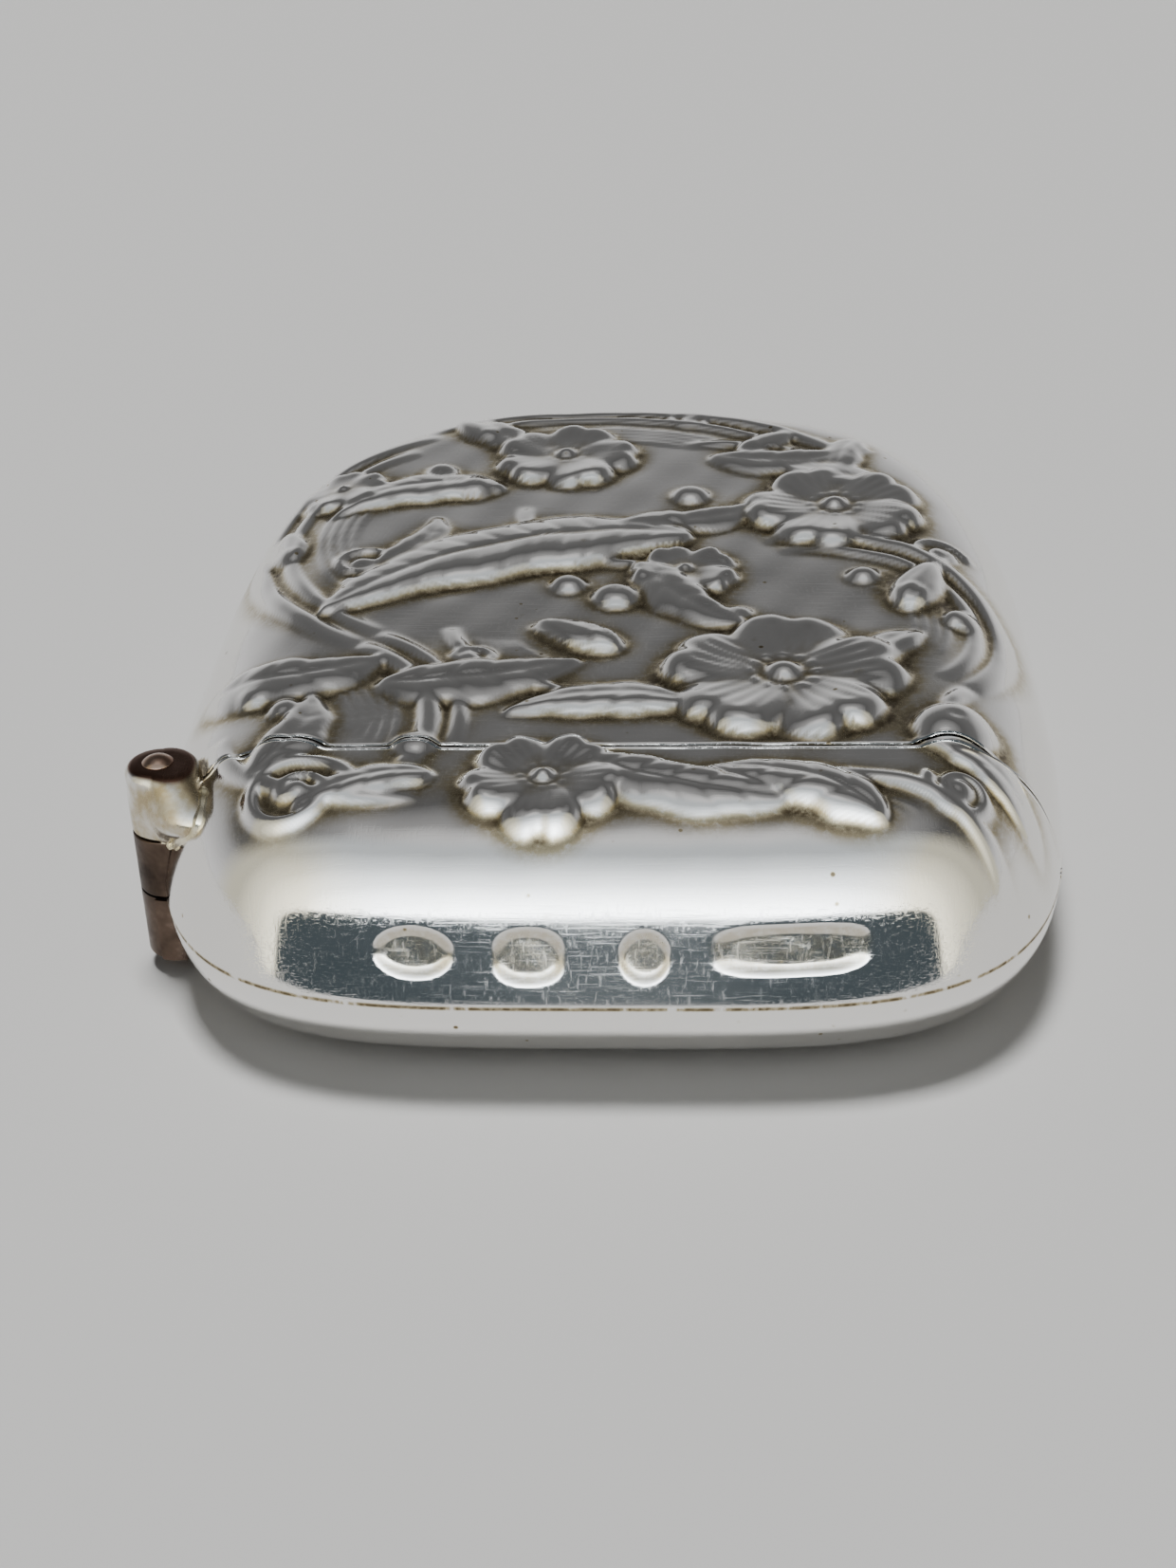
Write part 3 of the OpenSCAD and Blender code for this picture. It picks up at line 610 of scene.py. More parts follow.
# %% [markdown]
# The cut edges of the sheet are turned up and rubbed round, which draws the two bright lines beside the dark
# seam. Each is a fine round wire along the edge, and a curve with a bevel is the plain way to make one. Its
# points have to lie on the skin, so the height of the skin over any point is found first: the ring that the
# point lies on is put right in a few steps, until its place across the case agrees.

# %% Find the skin, and draw a wire
MERGE = 1e-7


def skin_point(x, y, front):
    """The height of the case's skin over some points, on its front or its back half."""
    side_x, side_y = x / (CASE_W / 2), (y - WIDEST_Y) / WIDEST
    asked = (np.abs(side_x) ** LID_SQUARE + np.abs(side_y) ** LID_SQUARE) ** (1 / LID_SQUARE)
    rho = np.minimum(asked, 1)
    for _ in range(6):
        found_x, _, share = on_case(side_x, side_y, rho, 0, front)
        rho = np.clip(rho + (np.abs(x) - np.abs(found_x)) / (CASE_W / 2), 0, 1)
    if not front:
        return JOIN_Z * (1 - share)
    near = from_die(die_near, x, y - LID_END) * np.clip(2 * share, 0, 1)
    return JOIN_Z + share * (CASE_T - JOIN_Z) + stamped_rise(x, y, share, near)


def wire(name, points, radii, body, slot):
    """A closed, round wire along the points, with its radius at each, in millimetres."""
    line = bpy.data.curves.new(name, "CURVE")
    line.dimensions, line.bevel_depth, line.bevel_resolution, line.use_fill_caps = "3D", MM, 2, True
    path = line.splines.new("POLY")
    path.points.add(len(points) - 1)
    for point, at, radius in zip(path.points, points, radii):
        point.co, point.radius = (*(at * MM), 1), radius
    rough = bpy.data.objects.new(name, line)
    bpy.context.scene.collection.objects.link(rough)
    mesh = bpy.data.meshes.new_from_object(rough.evaluated_get(bpy.context.evaluated_depsgraph_get()))
    bpy.data.objects.remove(rough)
    shape = bmesh.new()
    shape.from_mesh(mesh)
    bpy.data.meshes.remove(mesh)
    bmesh.ops.remove_doubles(shape, verts=shape.verts, dist=MERGE)
    bmesh.ops.recalc_face_normals(shape, faces=shape.faces)
    bmesh.ops.scale(shape, vec=(1 / MM,) * 3, verts=shape.verts)
    return piece(name, shape, body, slot, [])


over_seam = skin_point(np.array([0.0]), np.array([BODY_EDGE]), True)
print("the skin is", round(float(over_seam[0]), 2), "mm high at the middle of the seam")

# %% [markdown]
# Each turned edge runs over the front and back under the case, a little inside its own cut. It stops at the
# notch, where the edge was filed away, and the front knuckle's wider notch ends it sooner on the body.

# %% Turn the edges at the seam
AXIS_GAP, TURNED_R, TURNED_IN = 0.12, 0.1, 0.11
LIFT_FRONT, LIFT_BACK, SIDE_PULL = -0.04, 0.12, 0.05
POINTS_OVER, BACK_SHARE = 420, 6


def turned_edge(name, y, body):
    half = CASE_W / 2 * (1 - (abs(y - WIDEST_Y) / WIDEST) ** LID_SQUARE) ** (1 / LID_SQUARE)
    angle = np.linspace(-math.pi / 2, math.pi / 2, POINTS_OVER)
    top, under = half * np.sin(angle), half * np.sin(angle[::-BACK_SHARE])
    x = np.concatenate([top, under])
    z = np.concatenate([skin_point(top, y + 0 * top, True), skin_point(under, y + 0 * under, False)])
    widest = np.where((z > KNUCKLE_LOW) & (body == "case"), FRONT_NOTCH_R, NOTCH_R)
    clear = np.hypot(x - AXIS_X, y - AXIS_Y) > widest + AXIS_GAP
    lift = np.where(z > JOIN_Z, LIFT_FRONT, LIFT_BACK)
    points = np.column_stack([x, np.full_like(x, y), z])
    points += np.column_stack([-SIDE_PULL * np.sign(x) * (np.abs(x) / half) ** 6, 0 * x, lift])
    first = int(np.argmax(clear))
    last = len(x) - int(np.argmax(clear[::-1]))
    return wire(name, points[first:last], np.full(last - first, TURNED_R), body, "silver")


lid_turned = turned_edge("lid_turned_edge", LID_EDGE - TURNED_IN, "lid")
body_turned = turned_edge("body_turned_edge", BODY_EDGE + TURNED_IN, "case")

# %% [markdown]
# The front knuckle isn't a plain tube. It was bent from thick sheet and filled with solder, so a broad neck
# swells out of its side on to the shoulder of the lid, and its end is worn round. It is made of rings:
# circles whose points are pulled out to the shape at their height, joined by bridge_loops. The pin's place
# in the middle is hidden by the pin's head.

# %% Build the front knuckle
RING_POINTS, END_INSET = 120, 0.25
# The rings are closest where the foot and the worn end turn sharply
RING_HEIGHTS = (KNUCKLE_LOW, 7.03, 7.1, *np.arange(7.25, 9.6, 0.15),
                9.68, 9.76, 9.84, 9.91, 9.97, 10.02, 10.06, 10.09)


def by_axis(angle, reach):
    """A place at an angle and a distance from the pin's axis."""
    angle = np.radians(angle)
    return AXIS_X + reach * np.cos(angle), AXIS_Y + reach * np.sin(angle)


def knuckle_reach(angle, height):
    """Distance of the front knuckle's side from the pin's axis: barrel and neck, less the wear."""
    right = max(0.0, math.cos(math.radians(angle)))
    barrel = 1.45 + 0.3 * right ** 0.7
    swell = math.exp(-(((height - 8.5) / 1.2) ** 2))
    neck = 2.1 * swell * math.exp(-(((angle + 50) / (27 + 9 * swell)) ** 2))
    worn = 0.42 * (1 - math.sqrt(max(0.0, 1 - (max(0.0, height - 9.62) / 0.48) ** 2)))
    lumpy = 0.03 * math.sin(math.radians(5 * angle) + 2 * height) * swell
    foot = 0.1 * max(0.0, (7.1 - height) / 0.12) ** 2
    return barrel + neck - worn + lumpy - foot


def knuckle_ring(shape, height, inset=0.0):
    """Adds one closed ring at a height, and gives its edges."""
    ring = bmesh.ops.create_circle(shape, cap_ends=False, segments=RING_POINTS, radius=1)
    for vertex in ring["verts"]:
        angle = math.degrees(math.atan2(vertex.co.y, vertex.co.x))
        reach = knuckle_reach(angle, height) - inset
        vertex.co = (AXIS_X + reach * vertex.co.x, AXIS_Y + reach * vertex.co.y, height)
    return list({edge for vertex in ring["verts"] for edge in vertex.link_edges})


knuckle_shape = bmesh.new()
rings = [knuckle_ring(knuckle_shape, height) for height in RING_HEIGHTS]
rings.append(knuckle_ring(knuckle_shape, KNUCKLE_HIGH, END_INSET))
for lower, upper in zip(rings, rings[1:]):
    bmesh.ops.bridge_loops(knuckle_shape, edges=lower + upper)
for end in (rings[0], rings[-1]):
    bmesh.ops.contextual_create(knuckle_shape, geom=end)
bmesh.ops.triangulate(knuckle_shape, faces=[f for f in knuckle_shape.faces if len(f.verts) > 4])
bmesh.ops.recalc_face_normals(knuckle_shape, faces=knuckle_shape.faces)
front_knuckle = piece("hinge_knuckle_front", knuckle_shape, "lid", "silver_plain", ["hinge_knuckle_lid_top"])

# %% [markdown]
# A lumpy, yellowish line of solder shows where the knuckle's neck meets the lid. It is the same kind of wire
# as the turned edges, with a thickness that changes along it. For each direction from the axis, the point
# is where the neck first stands out of the skin, and the line is smoothed as solder would flow.

# %% Run the solder
SOLDER_FROM, SOLDER_TO, SOLDER_POINTS, SOLDER_R = -86, -24, 63, 0.19


def where_neck_lands(angle):
    """The lowest point at which the neck stands out of the lid, for one direction from the axis."""
    heights = np.arange(KNUCKLE_LOW, KNUCKLE_HIGH, 0.04)
    x, y = by_axis(angle, np.array([knuckle_reach(angle, height) for height in heights]))
    outside = np.flatnonzero(skin_point(x, y, True) < heights)
    first = outside[0] if len(outside) else -1
    return x[first], y[first], heights[first]


def smoothed(points, reach=4):
    """Each point averaged with its neighbours, the nearest counting most."""
    weights = bell(np.linspace(-2, 2, 2 * reach + 1), 1)
    last = len(points) - 1
    near = [np.clip(np.arange(n - reach, n + reach + 1), 0, last) for n in range(last + 1)]
    return np.array([np.average(points[few], axis=0, weights=weights) for few in near])


along = np.linspace(SOLDER_FROM, SOLDER_TO, SOLDER_POINTS)
landing = smoothed(np.array([where_neck_lands(angle) for angle in along]))
lumps = SOLDER_R + 0.05 * np.sin(along / 3) + 0.03 * np.sin(along / 1.7 + 1)
lumps *= np.clip(np.minimum(along - SOLDER_FROM, SOLDER_TO - along) / 10, 0.3, 1)
solder = wire("hinge_solder", landing, lumps, "lid", "silver_plain")
print("solder from", np.round(landing[0], 2), "to", np.round(landing[-1], 2))

# %% [markdown]
# The small parts of the hinge and the spring have the right shape in the solids, but with sharp corners that
# metal never has. A copy of each is merged, its flat faces are joined up, and a narrow bevel rounds every
# corner so that it can catch the light.

# %% Soften the small parts
# Node, body, finish, width of the rounding
SMALL_PARTS = [("hinge_knuckle_body", "case", "silver_dark", 0.16),
               ("hinge_knuckle_lid_bottom", "lid", "silver_dark", 0.16),
               ("hinge_pin", "lid", "silver_pin", 0.05), ("lid_heel", "lid", "silver_plain", 0.08),
               ("snap_spring", "case", "spring_steel", 0.05), ("spring_pad", "case", "silver_plain", 0.1),
               ("spring_rivets", "case", "silver_plain", 0.1), ("striker", "case", "striker_silver", 0.05),
               ("mouth_collar", "case", "silver_plain", 0.06)]


def softened(node, body, slot, width):
    copy = bmesh.new()
    copy.from_mesh(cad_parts[node].data)
    bmesh.ops.remove_doubles(copy, verts=copy.verts, dist=MERGE)
    bmesh.ops.dissolve_limit(copy, angle_limit=math.radians(1), verts=copy.verts, edges=copy.edges)
    bmesh.ops.scale(copy, vec=(1 / MM,) * 3, verts=copy.verts)
    made = piece(node + "_soft", copy, body, slot, [node])
    round_over = made.modifiers.new("soft_edge", "BEVEL")
    round_over.width, round_over.segments = width * MM, 3
    round_over.limit_method, round_over.angle_limit = "ANGLE", math.radians(28)
    round_over.harden_normals = True
    apply_modifiers(made)
    return made


small = {node: softened(node, body, slot, width) for node, body, slot, width in SMALL_PARTS}

# %% [markdown]
# Old silver isn't one colour. The high parts are rubbed white, a thin khaki film lies round the relief, the
# hollows keep a brown tarnish, and fine scratches cross the plain faces. Every silver on the case shares
# these effects, so they are one node group with its own values for each part, and it puts out a colour, a
# roughness and a normal. Its patterns read Object coordinates in millimetres, so they sit still on the
# metal. A small helper adds the nodes first, because a graph in code is easier to read in few, short calls.

# %% Short ways to add nodes
def node_at(tree, kind, place, **values):
    """A new node at a place in the graph, with some of its settings."""
    node = tree.nodes.new(kind)
    node.location = place
    for name, value in values.items():
        setattr(node, name, value)
    return node


class Maker:
    """Short ways to add the nodes that the effects need, all in millimetres of the object."""

    def __init__(self, tree):
        self.tree, self.link = tree, tree.links.new
        place = node_at(tree, "ShaderNodeTexCoord", (-1800, -300))
        self.scaled = node_at(tree, "ShaderNodeMapping", (-1600, -300))
        self.scaled.inputs["Scale"].default_value = (1000, 1000, 1000)
        self.link(place.outputs["Object"], self.scaled.inputs["Vector"])

    def noise(self, scale, detail, rough, at, stretch=(1, 1, 1), turn=0.0):
        """Noise, squeezed along the axes that have a large stretch, and turned."""
        squeeze = node_at(self.tree, "ShaderNodeMapping", (at[0] - 200, at[1]))
        squeeze.inputs["Scale"].default_value = stretch
        squeeze.inputs["Rotation"].default_value = (0, turn, turn)
        self.link(self.scaled.outputs["Vector"], squeeze.inputs["Vector"])
        made = node_at(self.tree, "ShaderNodeTexNoise", at)
        for name, value in (("Scale", scale), ("Detail", detail), ("Roughness", rough)):
            made.inputs[name].default_value = value
        self.link(squeeze.outputs["Vector"], made.inputs["Vector"])
        return made.outputs["Fac"]

    def ramp(self, source, low, high, at):
        """0 at the low value, 1 at the high one, even where low is above high."""
        made = node_at(self.tree, "ShaderNodeMapRange", at)
        made.inputs["From Min"].default_value, made.inputs["From Max"].default_value = low, high
        self.link(source, made.inputs["Value"])
        return made.outputs["Result"]

    def maths(self, kind, a, b, at):
        """A sum of two sockets or numbers, kept between 0 and 1."""
        made = node_at(self.tree, "ShaderNodeMath", at, operation=kind, use_clamp=True)
        for socket, value in zip(made.inputs, (a, b)):
            if isinstance(value, (int, float)):
                socket.default_value = value
            else:
                self.link(value, socket)
        return made.outputs[0]

    def mix(self, factor, a, b, at):
        """Colour a where the factor is 0, b where it is 1."""
        made = node_at(self.tree, "ShaderNodeMix", at, data_type="RGBA")
        self.link(factor, made.inputs["Factor"])
        self.link(a, made.inputs["A"])
        self.link(b, made.inputs["B"])
        return made.outputs["Result"]


print("helpers:", ", ".join(name for name in vars(Maker) if not name.startswith("_")))

# %% [markdown]
# Two things change over worn silver: how dirty it is, and how scratched. Dirt comes from the patina that a
# part asks for, which on the stamped sheet also holds painted shade, from a cloudy film that spreads with the
# tarnish amount, and from a few round pits. Scratches are noise stretched into hairs that run three ways.
# Dirt takes the colour from bright over film to tarnish and makes it rougher, and scratches and pits lower
# the surface a very little.

# %% Pits, dirt and scratches
def pits(make, clouds):
    """A few round pits, only where the clouds are thick."""
    spots = node_at(make.tree, "ShaderNodeTexVoronoi", (-1000, -450))
    spots.inputs["Scale"].default_value = 0.8
    make.link(make.scaled.outputs["Vector"], spots.inputs["Vector"])
    return make.maths("MULTIPLY", make.ramp(spots.outputs["Distance"], 0.1, 0.05, (-800, -450)),
                      make.ramp(clouds, 0.5, 0.6, (-800, -600)), (-600, -450))


def dirt_and_painted_shade(make, asked, clouds, pit):
    """Dirt and painted shade: the film spreads with the amount, and asked patina and shade stay dark."""
    ramp, maths = make.ramp, make.maths
    specks = make.noise(2.6, 5, 0.7, (-1000, 300))
    spread = maths("MULTIPLY", asked["Tarnish Amount"], 0.6, (-800, 700))
    thick = maths("ADD", maths("MULTIPLY", clouds, 0.9, (-800, 500)), spread, (-700, 600))
    film = ramp(thick, 0.62, 0.95, (-600, 600))
    broken = maths("MULTIPLY", asked["Patina And Shade"], ramp(specks, 0.1, 0.55, (-800, 300)), (-600, 300))
    dirt_and_shade = maths("MAXIMUM", broken, film, (-400, 400))
    return maths("MAXIMUM", dirt_and_shade, maths("MULTIPLY", pit, 0.9, (-400, -450)), (-250, 400))


def scratches(make, asked):
    """Hairs that run three ways, as strong as asked."""
    ramp, maths = make.ramp, make.maths
    hairs = make.noise(1.0, 3, 0.6, (-1000, 0), stretch=(0.4, 12, 12), turn=0.25)
    cross = make.noise(1.0, 3, 0.6, (-1000, -200), stretch=(8, 0.9, 8), turn=-0.5)
    strokes = make.noise(1.5, 3, 0.5, (-1000, -330), stretch=(5, 1.1, 1.1), turn=0.7)
    crossed = maths("MAXIMUM", ramp(hairs, 0.55, 0.7, (-800, 0)),
                    ramp(cross, 0.56, 0.72, (-800, -200)), (-600, 0))
    lines = maths("MAXIMUM", crossed, ramp(strokes, 0.54, 0.68, (-800, -300)), (-500, -100))
    return maths("MULTIPLY", lines, asked["Scratch"], (-400, 0))


print("effects:", pits.__name__, dirt_and_painted_shade.__name__, scratches.__name__)

# %% Mix the worn silver
WORN_INPUTS = (("Patina And Shade", "Float", 0.0), ("Bright", "Color", (0.9, 0.88, 0.84, 1)),
               ("Film", "Color", (0.5, 0.42, 0.27, 1)), ("Tarnish", "Color", (0.2, 0.15, 0.1, 1)),
               ("Tarnish Amount", "Float", 0.3), ("Polish", "Float", 0.1), ("Scratch", "Float", 0.3))
WORN_OUTPUTS = (("Color", "Color"), ("Roughness", "Float"), ("Normal", "Vector"))
BUMP_STRENGTH, BUMP_DEEP = 0.15, 0.00002


def worn_silver_group():
    tree = bpy.data.node_groups.new("worn_silver", "ShaderNodeTree")
    for name, kind, value in WORN_INPUTS:
        socket = tree.interface.new_socket(name=name, in_out="INPUT", socket_type="NodeSocket" + kind)
        socket.default_value = value
    for name, kind in WORN_OUTPUTS:
        tree.interface.new_socket(name=name, in_out="OUTPUT", socket_type="NodeSocket" + kind)
    asked = node_at(tree, "NodeGroupInput", (-1400, 0)).outputs
    given = node_at(tree, "NodeGroupOutput", (900, 0)).inputs
    make = Maker(tree)
    clouds = make.noise(0.35, 4, 0.6, (-1000, 500))
    pit = pits(make, clouds)
    dirt_and_shade = dirt_and_painted_shade(make, asked, clouds, pit)
    lines = scratches(make, asked)
    thin = make.mix(make.ramp(dirt_and_shade, 0.0, 0.45, (-100, 500)), asked["Bright"], asked["Film"], (100, 500))
    make.link(make.mix(make.ramp(dirt_and_shade, 0.45, 1.0, (-100, 300)), thin, asked["Tarnish"], (300, 400)),
              given["Color"])
    rough = make.maths("ADD", asked["Polish"], make.maths("MULTIPLY", lines, 0.2, (-200, 0)), (0, 0))
    rough = make.maths("ADD", rough, make.maths("MULTIPLY", dirt_and_shade, 0.28, (-200, 150)), (200, 0))
    make.link(rough, given["Roughness"])
    depth = make.maths("SUBTRACT", 1.0, make.maths("MULTIPLY", lines, 0.6, (-200, -200)), (0, -200))
    depth = make.maths("SUBTRACT", depth, make.maths("MULTIPLY", pit, 0.4, (-200, -400)), (200, -200))
    bump = node_at(tree, "ShaderNodeBump", (500, -200))
    bump.inputs["Strength"].default_value = BUMP_STRENGTH
    bump.inputs["Distance"].default_value = BUMP_DEEP
    make.link(depth, bump.inputs["Height"])
    make.link(bump.outputs["Normal"], given["Normal"])
    return tree


WORN_SILVER = worn_silver_group()
print("group", WORN_SILVER.name, "with", len(WORN_SILVER.nodes), "nodes")

# %% [markdown]
# Each part then places the group with its own values. The stamped sheet reads the patina, with the painted
# shade of the dishes and the notch in it, and the rubbed share kept on its vertices, and has a fine, broken,
# dark line where its two halves are soldered. The dark knuckles are almost all tarnish, the end of the front
# knuckle is brown where no cloth reaches it, and the spring is steel, greyer and brushed.

# %% A silver for each part
JOIN_CORE, JOIN_FADE = 0.03, 0.11
RUBBED_DULL = 0.09
BROWN_FROM, BROWN_FULL = 9.93, 10.04


def height_over_table(make, at):
    """The height of the shaded point, in millimetres."""
    split = node_at(make.tree, "ShaderNodeSeparateXYZ", at)
    make.link(make.scaled.outputs["Vector"], split.inputs["Vector"])
    return split.outputs["Z"]


def read_the_sheet(tree, worn, polish):
    """Patina with painted shade, join line and rubbed end of the stamped sheet."""
    make = Maker(tree)
    ramp, maths = make.ramp, make.maths
    height = height_over_table(make, (-1300, 300))
    gaps = ramp(make.noise(1.4, 3, 0.6, (-1200, 500), stretch=(1, 1, 0.4)), 0.34, 0.5, (-1000, 500))
    join = maths("MULTIPLY", ramp(height, JOIN_Z - JOIN_FADE, JOIN_Z - JOIN_CORE, (-1100, 300)),
                 ramp(height, JOIN_Z + JOIN_FADE, JOIN_Z + JOIN_CORE, (-1100, 100)), (-900, 300))
    join = maths("MULTIPLY", join, gaps, (-750, 300))
    # The patina share also holds painted shade: the dish floors and the filed notch wall
    hollow = node_at(tree, "ShaderNodeAttribute", (-900, 0), attribute_name="hollow")
    make.link(maths("MAXIMUM", join, hollow.outputs["Fac"], (-600, 250)), worn.inputs["Patina And Shade"])
    rubbed = node_at(tree, "ShaderNodeAttribute", (-900, -100), attribute_name="rubbed")
    dull = maths("MULTIPLY", rubbed.outputs["Fac"], RUBBED_DULL, (-700, -100))
    make.link(maths("ADD", dull, polish, (-500, -100)), worn.inputs["Polish"])


def brown_the_end(tree, worn, colour, tarnish):
    """Turns the top face of the front knuckle to tarnish."""
    make = Maker(tree)
    browned = node_at(tree, "ShaderNodeMix", (-100, 400), data_type="RGBA")
    reached = make.ramp(height_over_table(make, (-900, 300)), BROWN_FROM, BROWN_FULL, (-600, 300))
    make.link(reached, browned.inputs["Factor"])
    make.link(worn.outputs["Color"], browned.inputs["A"])
    browned.inputs["B"].default_value = (*tarnish, 1)
    make.link(browned.outputs["Result"], colour)


def silver(name, bright, film, tarnish, amount, polish, scratch, own=None):
    """A silver of its own colours and wear; own says what else the material reads."""
    material = bpy.data.materials.new(name)
    material.use_nodes = True
    tree = material.node_tree
    shader = tree.nodes["Principled BSDF"]
    shader.inputs["Metallic"].default_value = 1.0
    worn = node_at(tree, "ShaderNodeGroup", (-300, 200), node_tree=WORN_SILVER)
    for socket, value in (("Bright", (*bright, 1)), ("Film", (*film, 1)), ("Tarnish", (*tarnish, 1)),
                          ("Tarnish Amount", amount), ("Polish", polish), ("Scratch", scratch)):
        worn.inputs[socket].default_value = value
    for output, socket in (("Color", "Base Color"), ("Roughness", "Roughness"), ("Normal", "Normal")):
        tree.links.new(worn.outputs[output], shader.inputs[socket])
    if own == "sheet":
        read_the_sheet(tree, worn, polish)
    if own == "end":
        brown_the_end(tree, worn, shader.inputs["Base Color"], tarnish)
    return material


# Name, then bright, film and tarnish colours, amount of tarnish, polish, scratches
KHAKI, BROWN = (0.5, 0.42, 0.27), (0.13, 0.085, 0.05)
stamped = silver("silver_stamped", (0.95, 0.935, 0.91), (0.52, 0.45, 0.3), (0.13, 0.1, 0.06),
                 0.0, 0.05, 0.45, own="sheet")
plain = silver("silver_plain", (0.88, 0.86, 0.81), KHAKI, BROWN, 0.3, 0.12, 0.5)
knuckle = silver("silver_knuckle", (0.86, 0.85, 0.82), KHAKI, (0.15, 0.08, 0.055), 0.5, 0.12, 0.4, own="end")
solder_silver = silver("silver_solder", (0.86, 0.8, 0.62), (0.6, 0.52, 0.3), BROWN, 0.35, 0.2, 0.3)
dark = silver("silver_dark", (0.3, 0.22, 0.18), (0.12, 0.085, 0.065), (0.045, 0.032, 0.025), 0.62, 0.17, 0.5)
pin_silver = silver("silver_pin", (0.5, 0.36, 0.28), (0.3, 0.17, 0.12), (0.12, 0.06, 0.04), 0.4, 0.12, 0.3)
striking = silver("silver_striker", (0.6, 0.58, 0.54), (0.35, 0.3, 0.22), (0.08, 0.06, 0.05), 0.6, 0.25, 0.6)
steel = silver("spring_steel", (0.42, 0.43, 0.45), (0.25, 0.22, 0.19), (0.12, 0.09, 0.07), 0.35, 0.25, 0.9)
print(stamped.name, "has", len(stamped.node_tree.nodes), "nodes of its own beside the group")

# %% Give each piece its finish
FINISH = {"silver": stamped, "silver_plain": plain, "silver_dark": dark, "silver_pin": pin_silver,
          "striker_silver": striking, "spring_steel": steel}
for made in [case_body, case_lid, lid_turned, body_turned, front_knuckle, solder, *small.values()]:
    made.data.materials.clear()
    made.data.materials.append(FINISH[made["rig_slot"]])
front_knuckle.data.materials[0] = knuckle
solder.data.materials[0] = solder_silver
print(len(FINISH) + 2, "finishes in use")

# %% [markdown]
# The case lies on a plain pale floor. Polished silver scatters no light of its own, so two lamps light only
# the floor, and the walls of the room, further down, give the metal its reflections. The high lamp draws the
# dark shadow under the rounded edge, and the weak one over the camera keeps that shadow from going black.

# %% Floor and lamps
FLOOR_HALF, FLOOR_PALE = 1.5, (0.48, 0.476, 0.468, 1)
# Name, place, size, watts
LAMPS = (("overhead", (-0.1, 0.2, 2.0), (0.5, 0.5), 62.0), ("over_camera", (0.0, -0.9, 0.9), (1.2, 0.6), 1.7))


def floor_material():
    material = bpy.data.materials.new("pale_floor")
    material.use_nodes = True
    shader = material.node_tree.nodes["Principled BSDF"]
    shader.inputs["Base Color"].default_value = FLOOR_PALE
    shader.inputs["Roughness"].default_value = 0.8
    return material


ground = bmesh.new()
bmesh.ops.create_grid(ground, x_segments=2, y_segments=2, size=FLOOR_HALF)
floor_mesh = bpy.data.meshes.new("floor")
ground.to_mesh(floor_mesh)
ground.free()
floor = bpy.data.objects.new("floor", floor_mesh)
floor_mesh.materials.append(floor_material())
bpy.context.scene.collection.objects.link(floor)


def soft_light(name, at, size, watts):
    """A flat lamp that looks at the case and doesn't show in the metal."""
    lamp = bpy.data.lights.new(name, "AREA")
    lamp.shape, lamp.size, lamp.size_y, lamp.energy = "RECTANGLE", size[0], size[1], watts
    made = bpy.data.objects.new(name, lamp)
    bpy.context.scene.collection.objects.link(made)
    made.location = at
    made.rotation_mode = "QUATERNION"
    made.rotation_quaternion = (-Vector(at)).to_track_quat("-Z", "Y")
    made.visible_glossy = False


for lamp_values in LAMPS:
    soft_light(*lamp_values)

# %% [markdown]
# Polished silver shows the room more than itself, so the room is drawn as greys that change with the
# direction. It is bright behind the camera, which draws the bright band on the rounded lid end and on every
# slope that faces the camera, and dim on the far side, which the flat front shows. The walls to the left and
# the right of the camera are a little warmer than the one behind it.

# %% The walls of the room
ROOM_LEVEL = 1.35
# Direction upwards (far side) or towards the camera (near side), and the grey there
FAR_GREYS = ((0.0, 0.55), (0.3, 0.28), (0.46, 0.1), (0.76, 0.07), (0.94, 0.22), (1.0, 0.55))
NEAR_GREYS = ((0.0, 0.07), (0.3, 0.065), (0.55, 0.125), (0.78, 0.26), (0.92, 0.55), (1.0, 1.0))
COOL_WALL, WARM_WALL = (6.5, 6.95, 7.2, 1), (7.2, 6.9, 5.5, 1)

world = bpy.data.worlds.new("room")
bpy.context.scene.world = world
world.use_nodes = True
# The walls are only mirrored. If they lit the floor too, they would wash out the shadow under the case
world.cycles_visibility.diffuse = False
room = world.node_tree
make = Maker(room)
direction = node_at(room, "ShaderNodeTexCoord", (-1300, 200))
split = node_at(room, "ShaderNodeSeparateXYZ", (-1100, 200))
room.links.new(direction.outputs["Generated"], split.inputs["Vector"])
across, away, upwards = split.outputs["X"], split.outputs["Y"], split.outputs["Z"]


def plain_maths(kind, a, b, at):
    """A sum that may go past 1, which the helper's own doesn't."""
    made = node_at(room, "ShaderNodeMath", at, operation=kind)
    room.links.new(a, made.inputs[0])
    if isinstance(b, (int, float)):
        made.inputs[1].default_value = b
    else:
        room.links.new(b, made.inputs[1])
    return made.outputs[0]


def room_greys(source, steps, at):
    """A grey for each value of the source."""
    shade = node_at(room, "ShaderNodeValToRGB", at)
    ramp = shade.color_ramp
    for _ in steps[2:]:
        ramp.elements.new(0.5)
    for element, (position, grey) in zip(ramp.elements, steps):
        element.position, element.color = position, (grey, grey, grey * 1.01, 1)
    room.links.new(source, shade.inputs["Fac"])
    return shade.outputs["Color"]


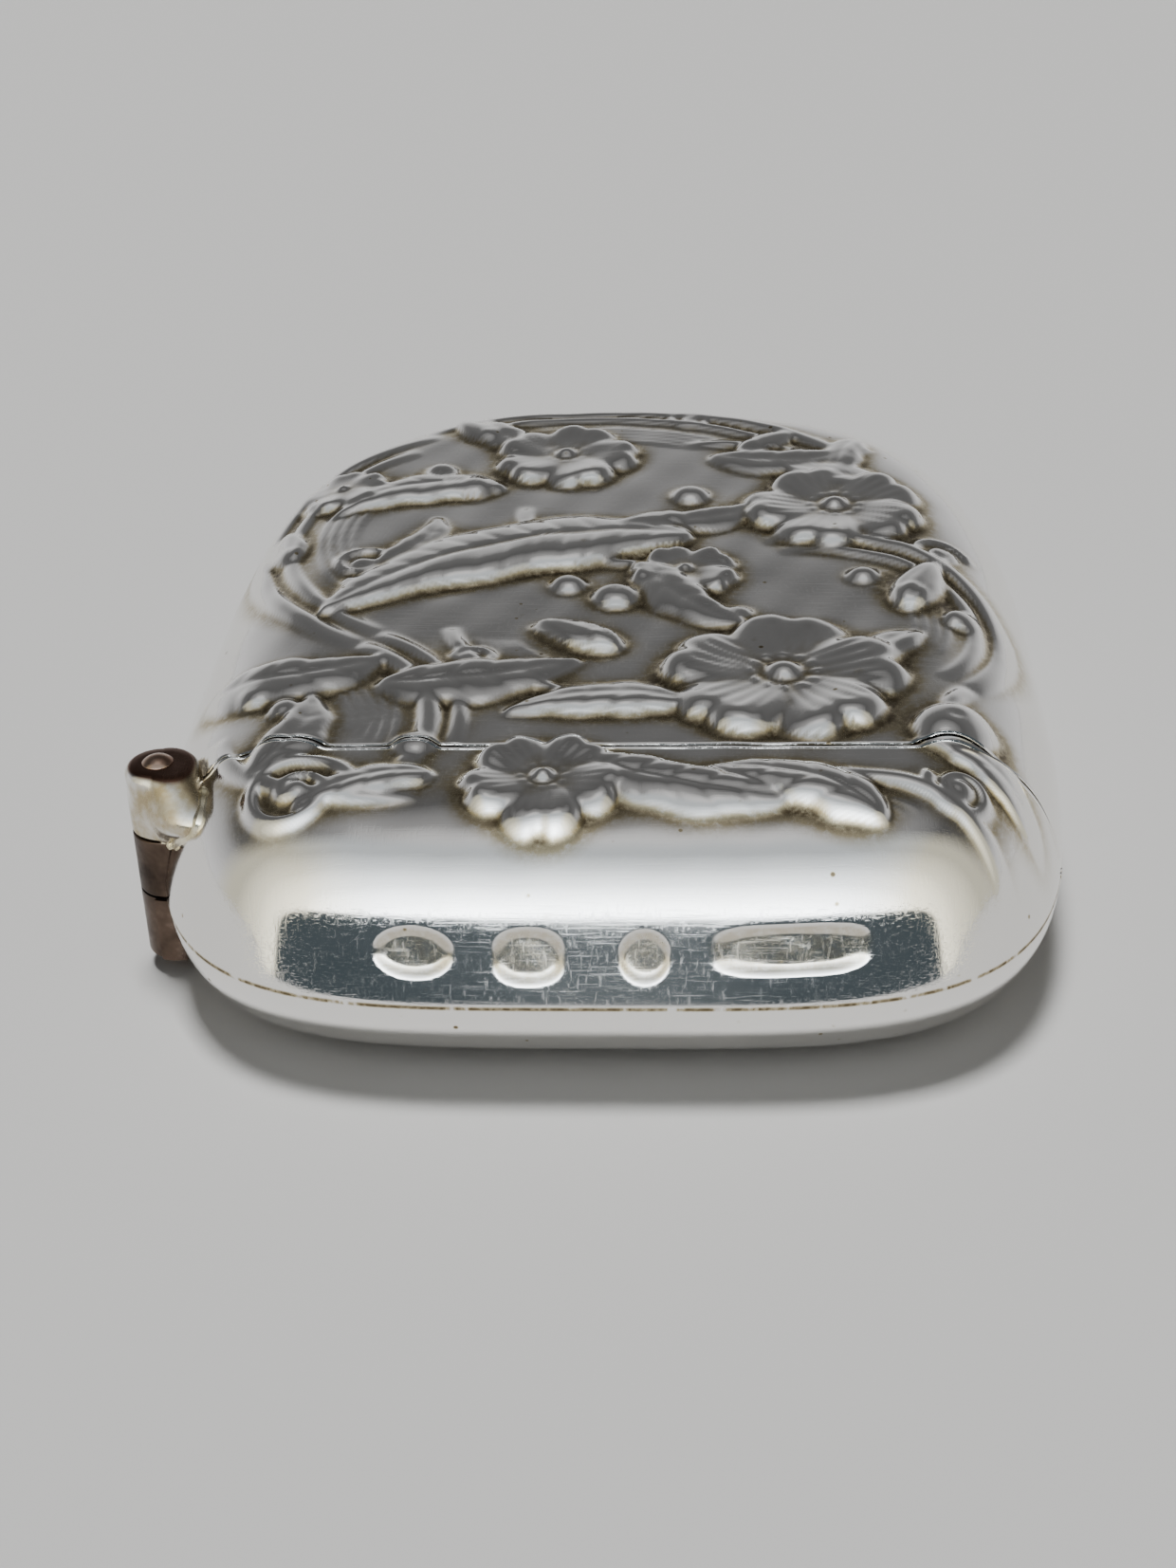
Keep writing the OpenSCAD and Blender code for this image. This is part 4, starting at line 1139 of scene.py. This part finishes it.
far_side = room_greys(upwards, FAR_GREYS, (-700, 300))
near_side = room_greys(make.ramp(away, 0.08, -0.95, (-900, 0)), NEAR_GREYS, (-700, 0))
tint = node_at(room, "ShaderNodeMix", (-700, -120), data_type="RGBA")
tint.inputs["A"].default_value, tint.inputs["B"].default_value = COOL_WALL, WARM_WALL
sideways = plain_maths("MULTIPLY", across, across, (-1100, -150))
room.links.new(make.ramp(sideways, 0.1, 0.4, (-900, -150)), tint.inputs["Factor"])
bright_side = node_at(room, "ShaderNodeMix", (-500, 0), data_type="RGBA", blend_type="MULTIPLY")
bright_side.inputs["Factor"].default_value = 1
room.links.new(near_side, bright_side.inputs["A"])
room.links.new(tint.outputs["Result"], bright_side.inputs["B"])
walls = make.mix(make.ramp(away, 0.1, -0.12, (-700, -250)), far_side,
                 bright_side.outputs["Result"], (-350, 150))
print("greys:", len(FAR_GREYS), "on the far side,", len(NEAR_GREYS), "behind the camera")

# %% [markdown]
# Round the lens the room is in shade. The shade is a rounded rectangle, wide and low, and it gives the dark
# band with crisp ends that runs along the lid under the bright one. The camera itself looks at a plain pale
# wall, so that the background stays plain from every side.

# %% The shade round the lens, and the plain wall
SHADE_WIDE, SHADE_HIGH, LENS_SHADE = 1.2, 0.33, (0.045, 0.058, 0.066, 1)
PLAIN_WALL = (0.47, 0.47, 0.465, 1)


def fourth_power(part, half, at):
    """The fourth power of a part of the direction, over its part away from the camera and a half size."""
    slope = plain_maths("DIVIDE", part, away, at)
    sized = plain_maths("MULTIPLY", slope, 1 / half, (at[0] + 150, at[1]))
    twice = plain_maths("MULTIPLY", sized, sized, (at[0] + 300, at[1]))
    return plain_maths("MULTIPLY", twice, twice, (at[0] + 450, at[1]))


around = plain_maths("ADD", fourth_power(across, SHADE_WIDE, (-900, -450)),
                     fourth_power(upwards, SHADE_HIGH, (-900, -650)), (-300, -500))
lens_side = make.maths("MULTIPLY", make.ramp(around, 1.15, 0.85, (-150, -500)),
                       make.ramp(away, 0.0, -0.05, (-150, -700)), (50, -500))
shade = node_at(room, "ShaderNodeMix", (200, 0), data_type="RGBA")
room.links.new(lens_side, shade.inputs["Factor"])
room.links.new(walls, shade.inputs["A"])
shade.inputs["B"].default_value = LENS_SHADE
seen = node_at(room, "ShaderNodeLightPath", (200, 300))
wall = node_at(room, "ShaderNodeMix", (400, 0), data_type="RGBA")
room.links.new(seen.outputs["Is Camera Ray"], wall.inputs["Factor"])
room.links.new(shade.outputs["Result"], wall.inputs["A"])
wall.inputs["B"].default_value = PLAIN_WALL
room.links.new(wall.outputs["Result"], room.nodes["Background"].inputs["Color"])
room.nodes["Background"].inputs["Strength"].default_value = ROOM_LEVEL
print("room made of", len(room.nodes), "nodes")
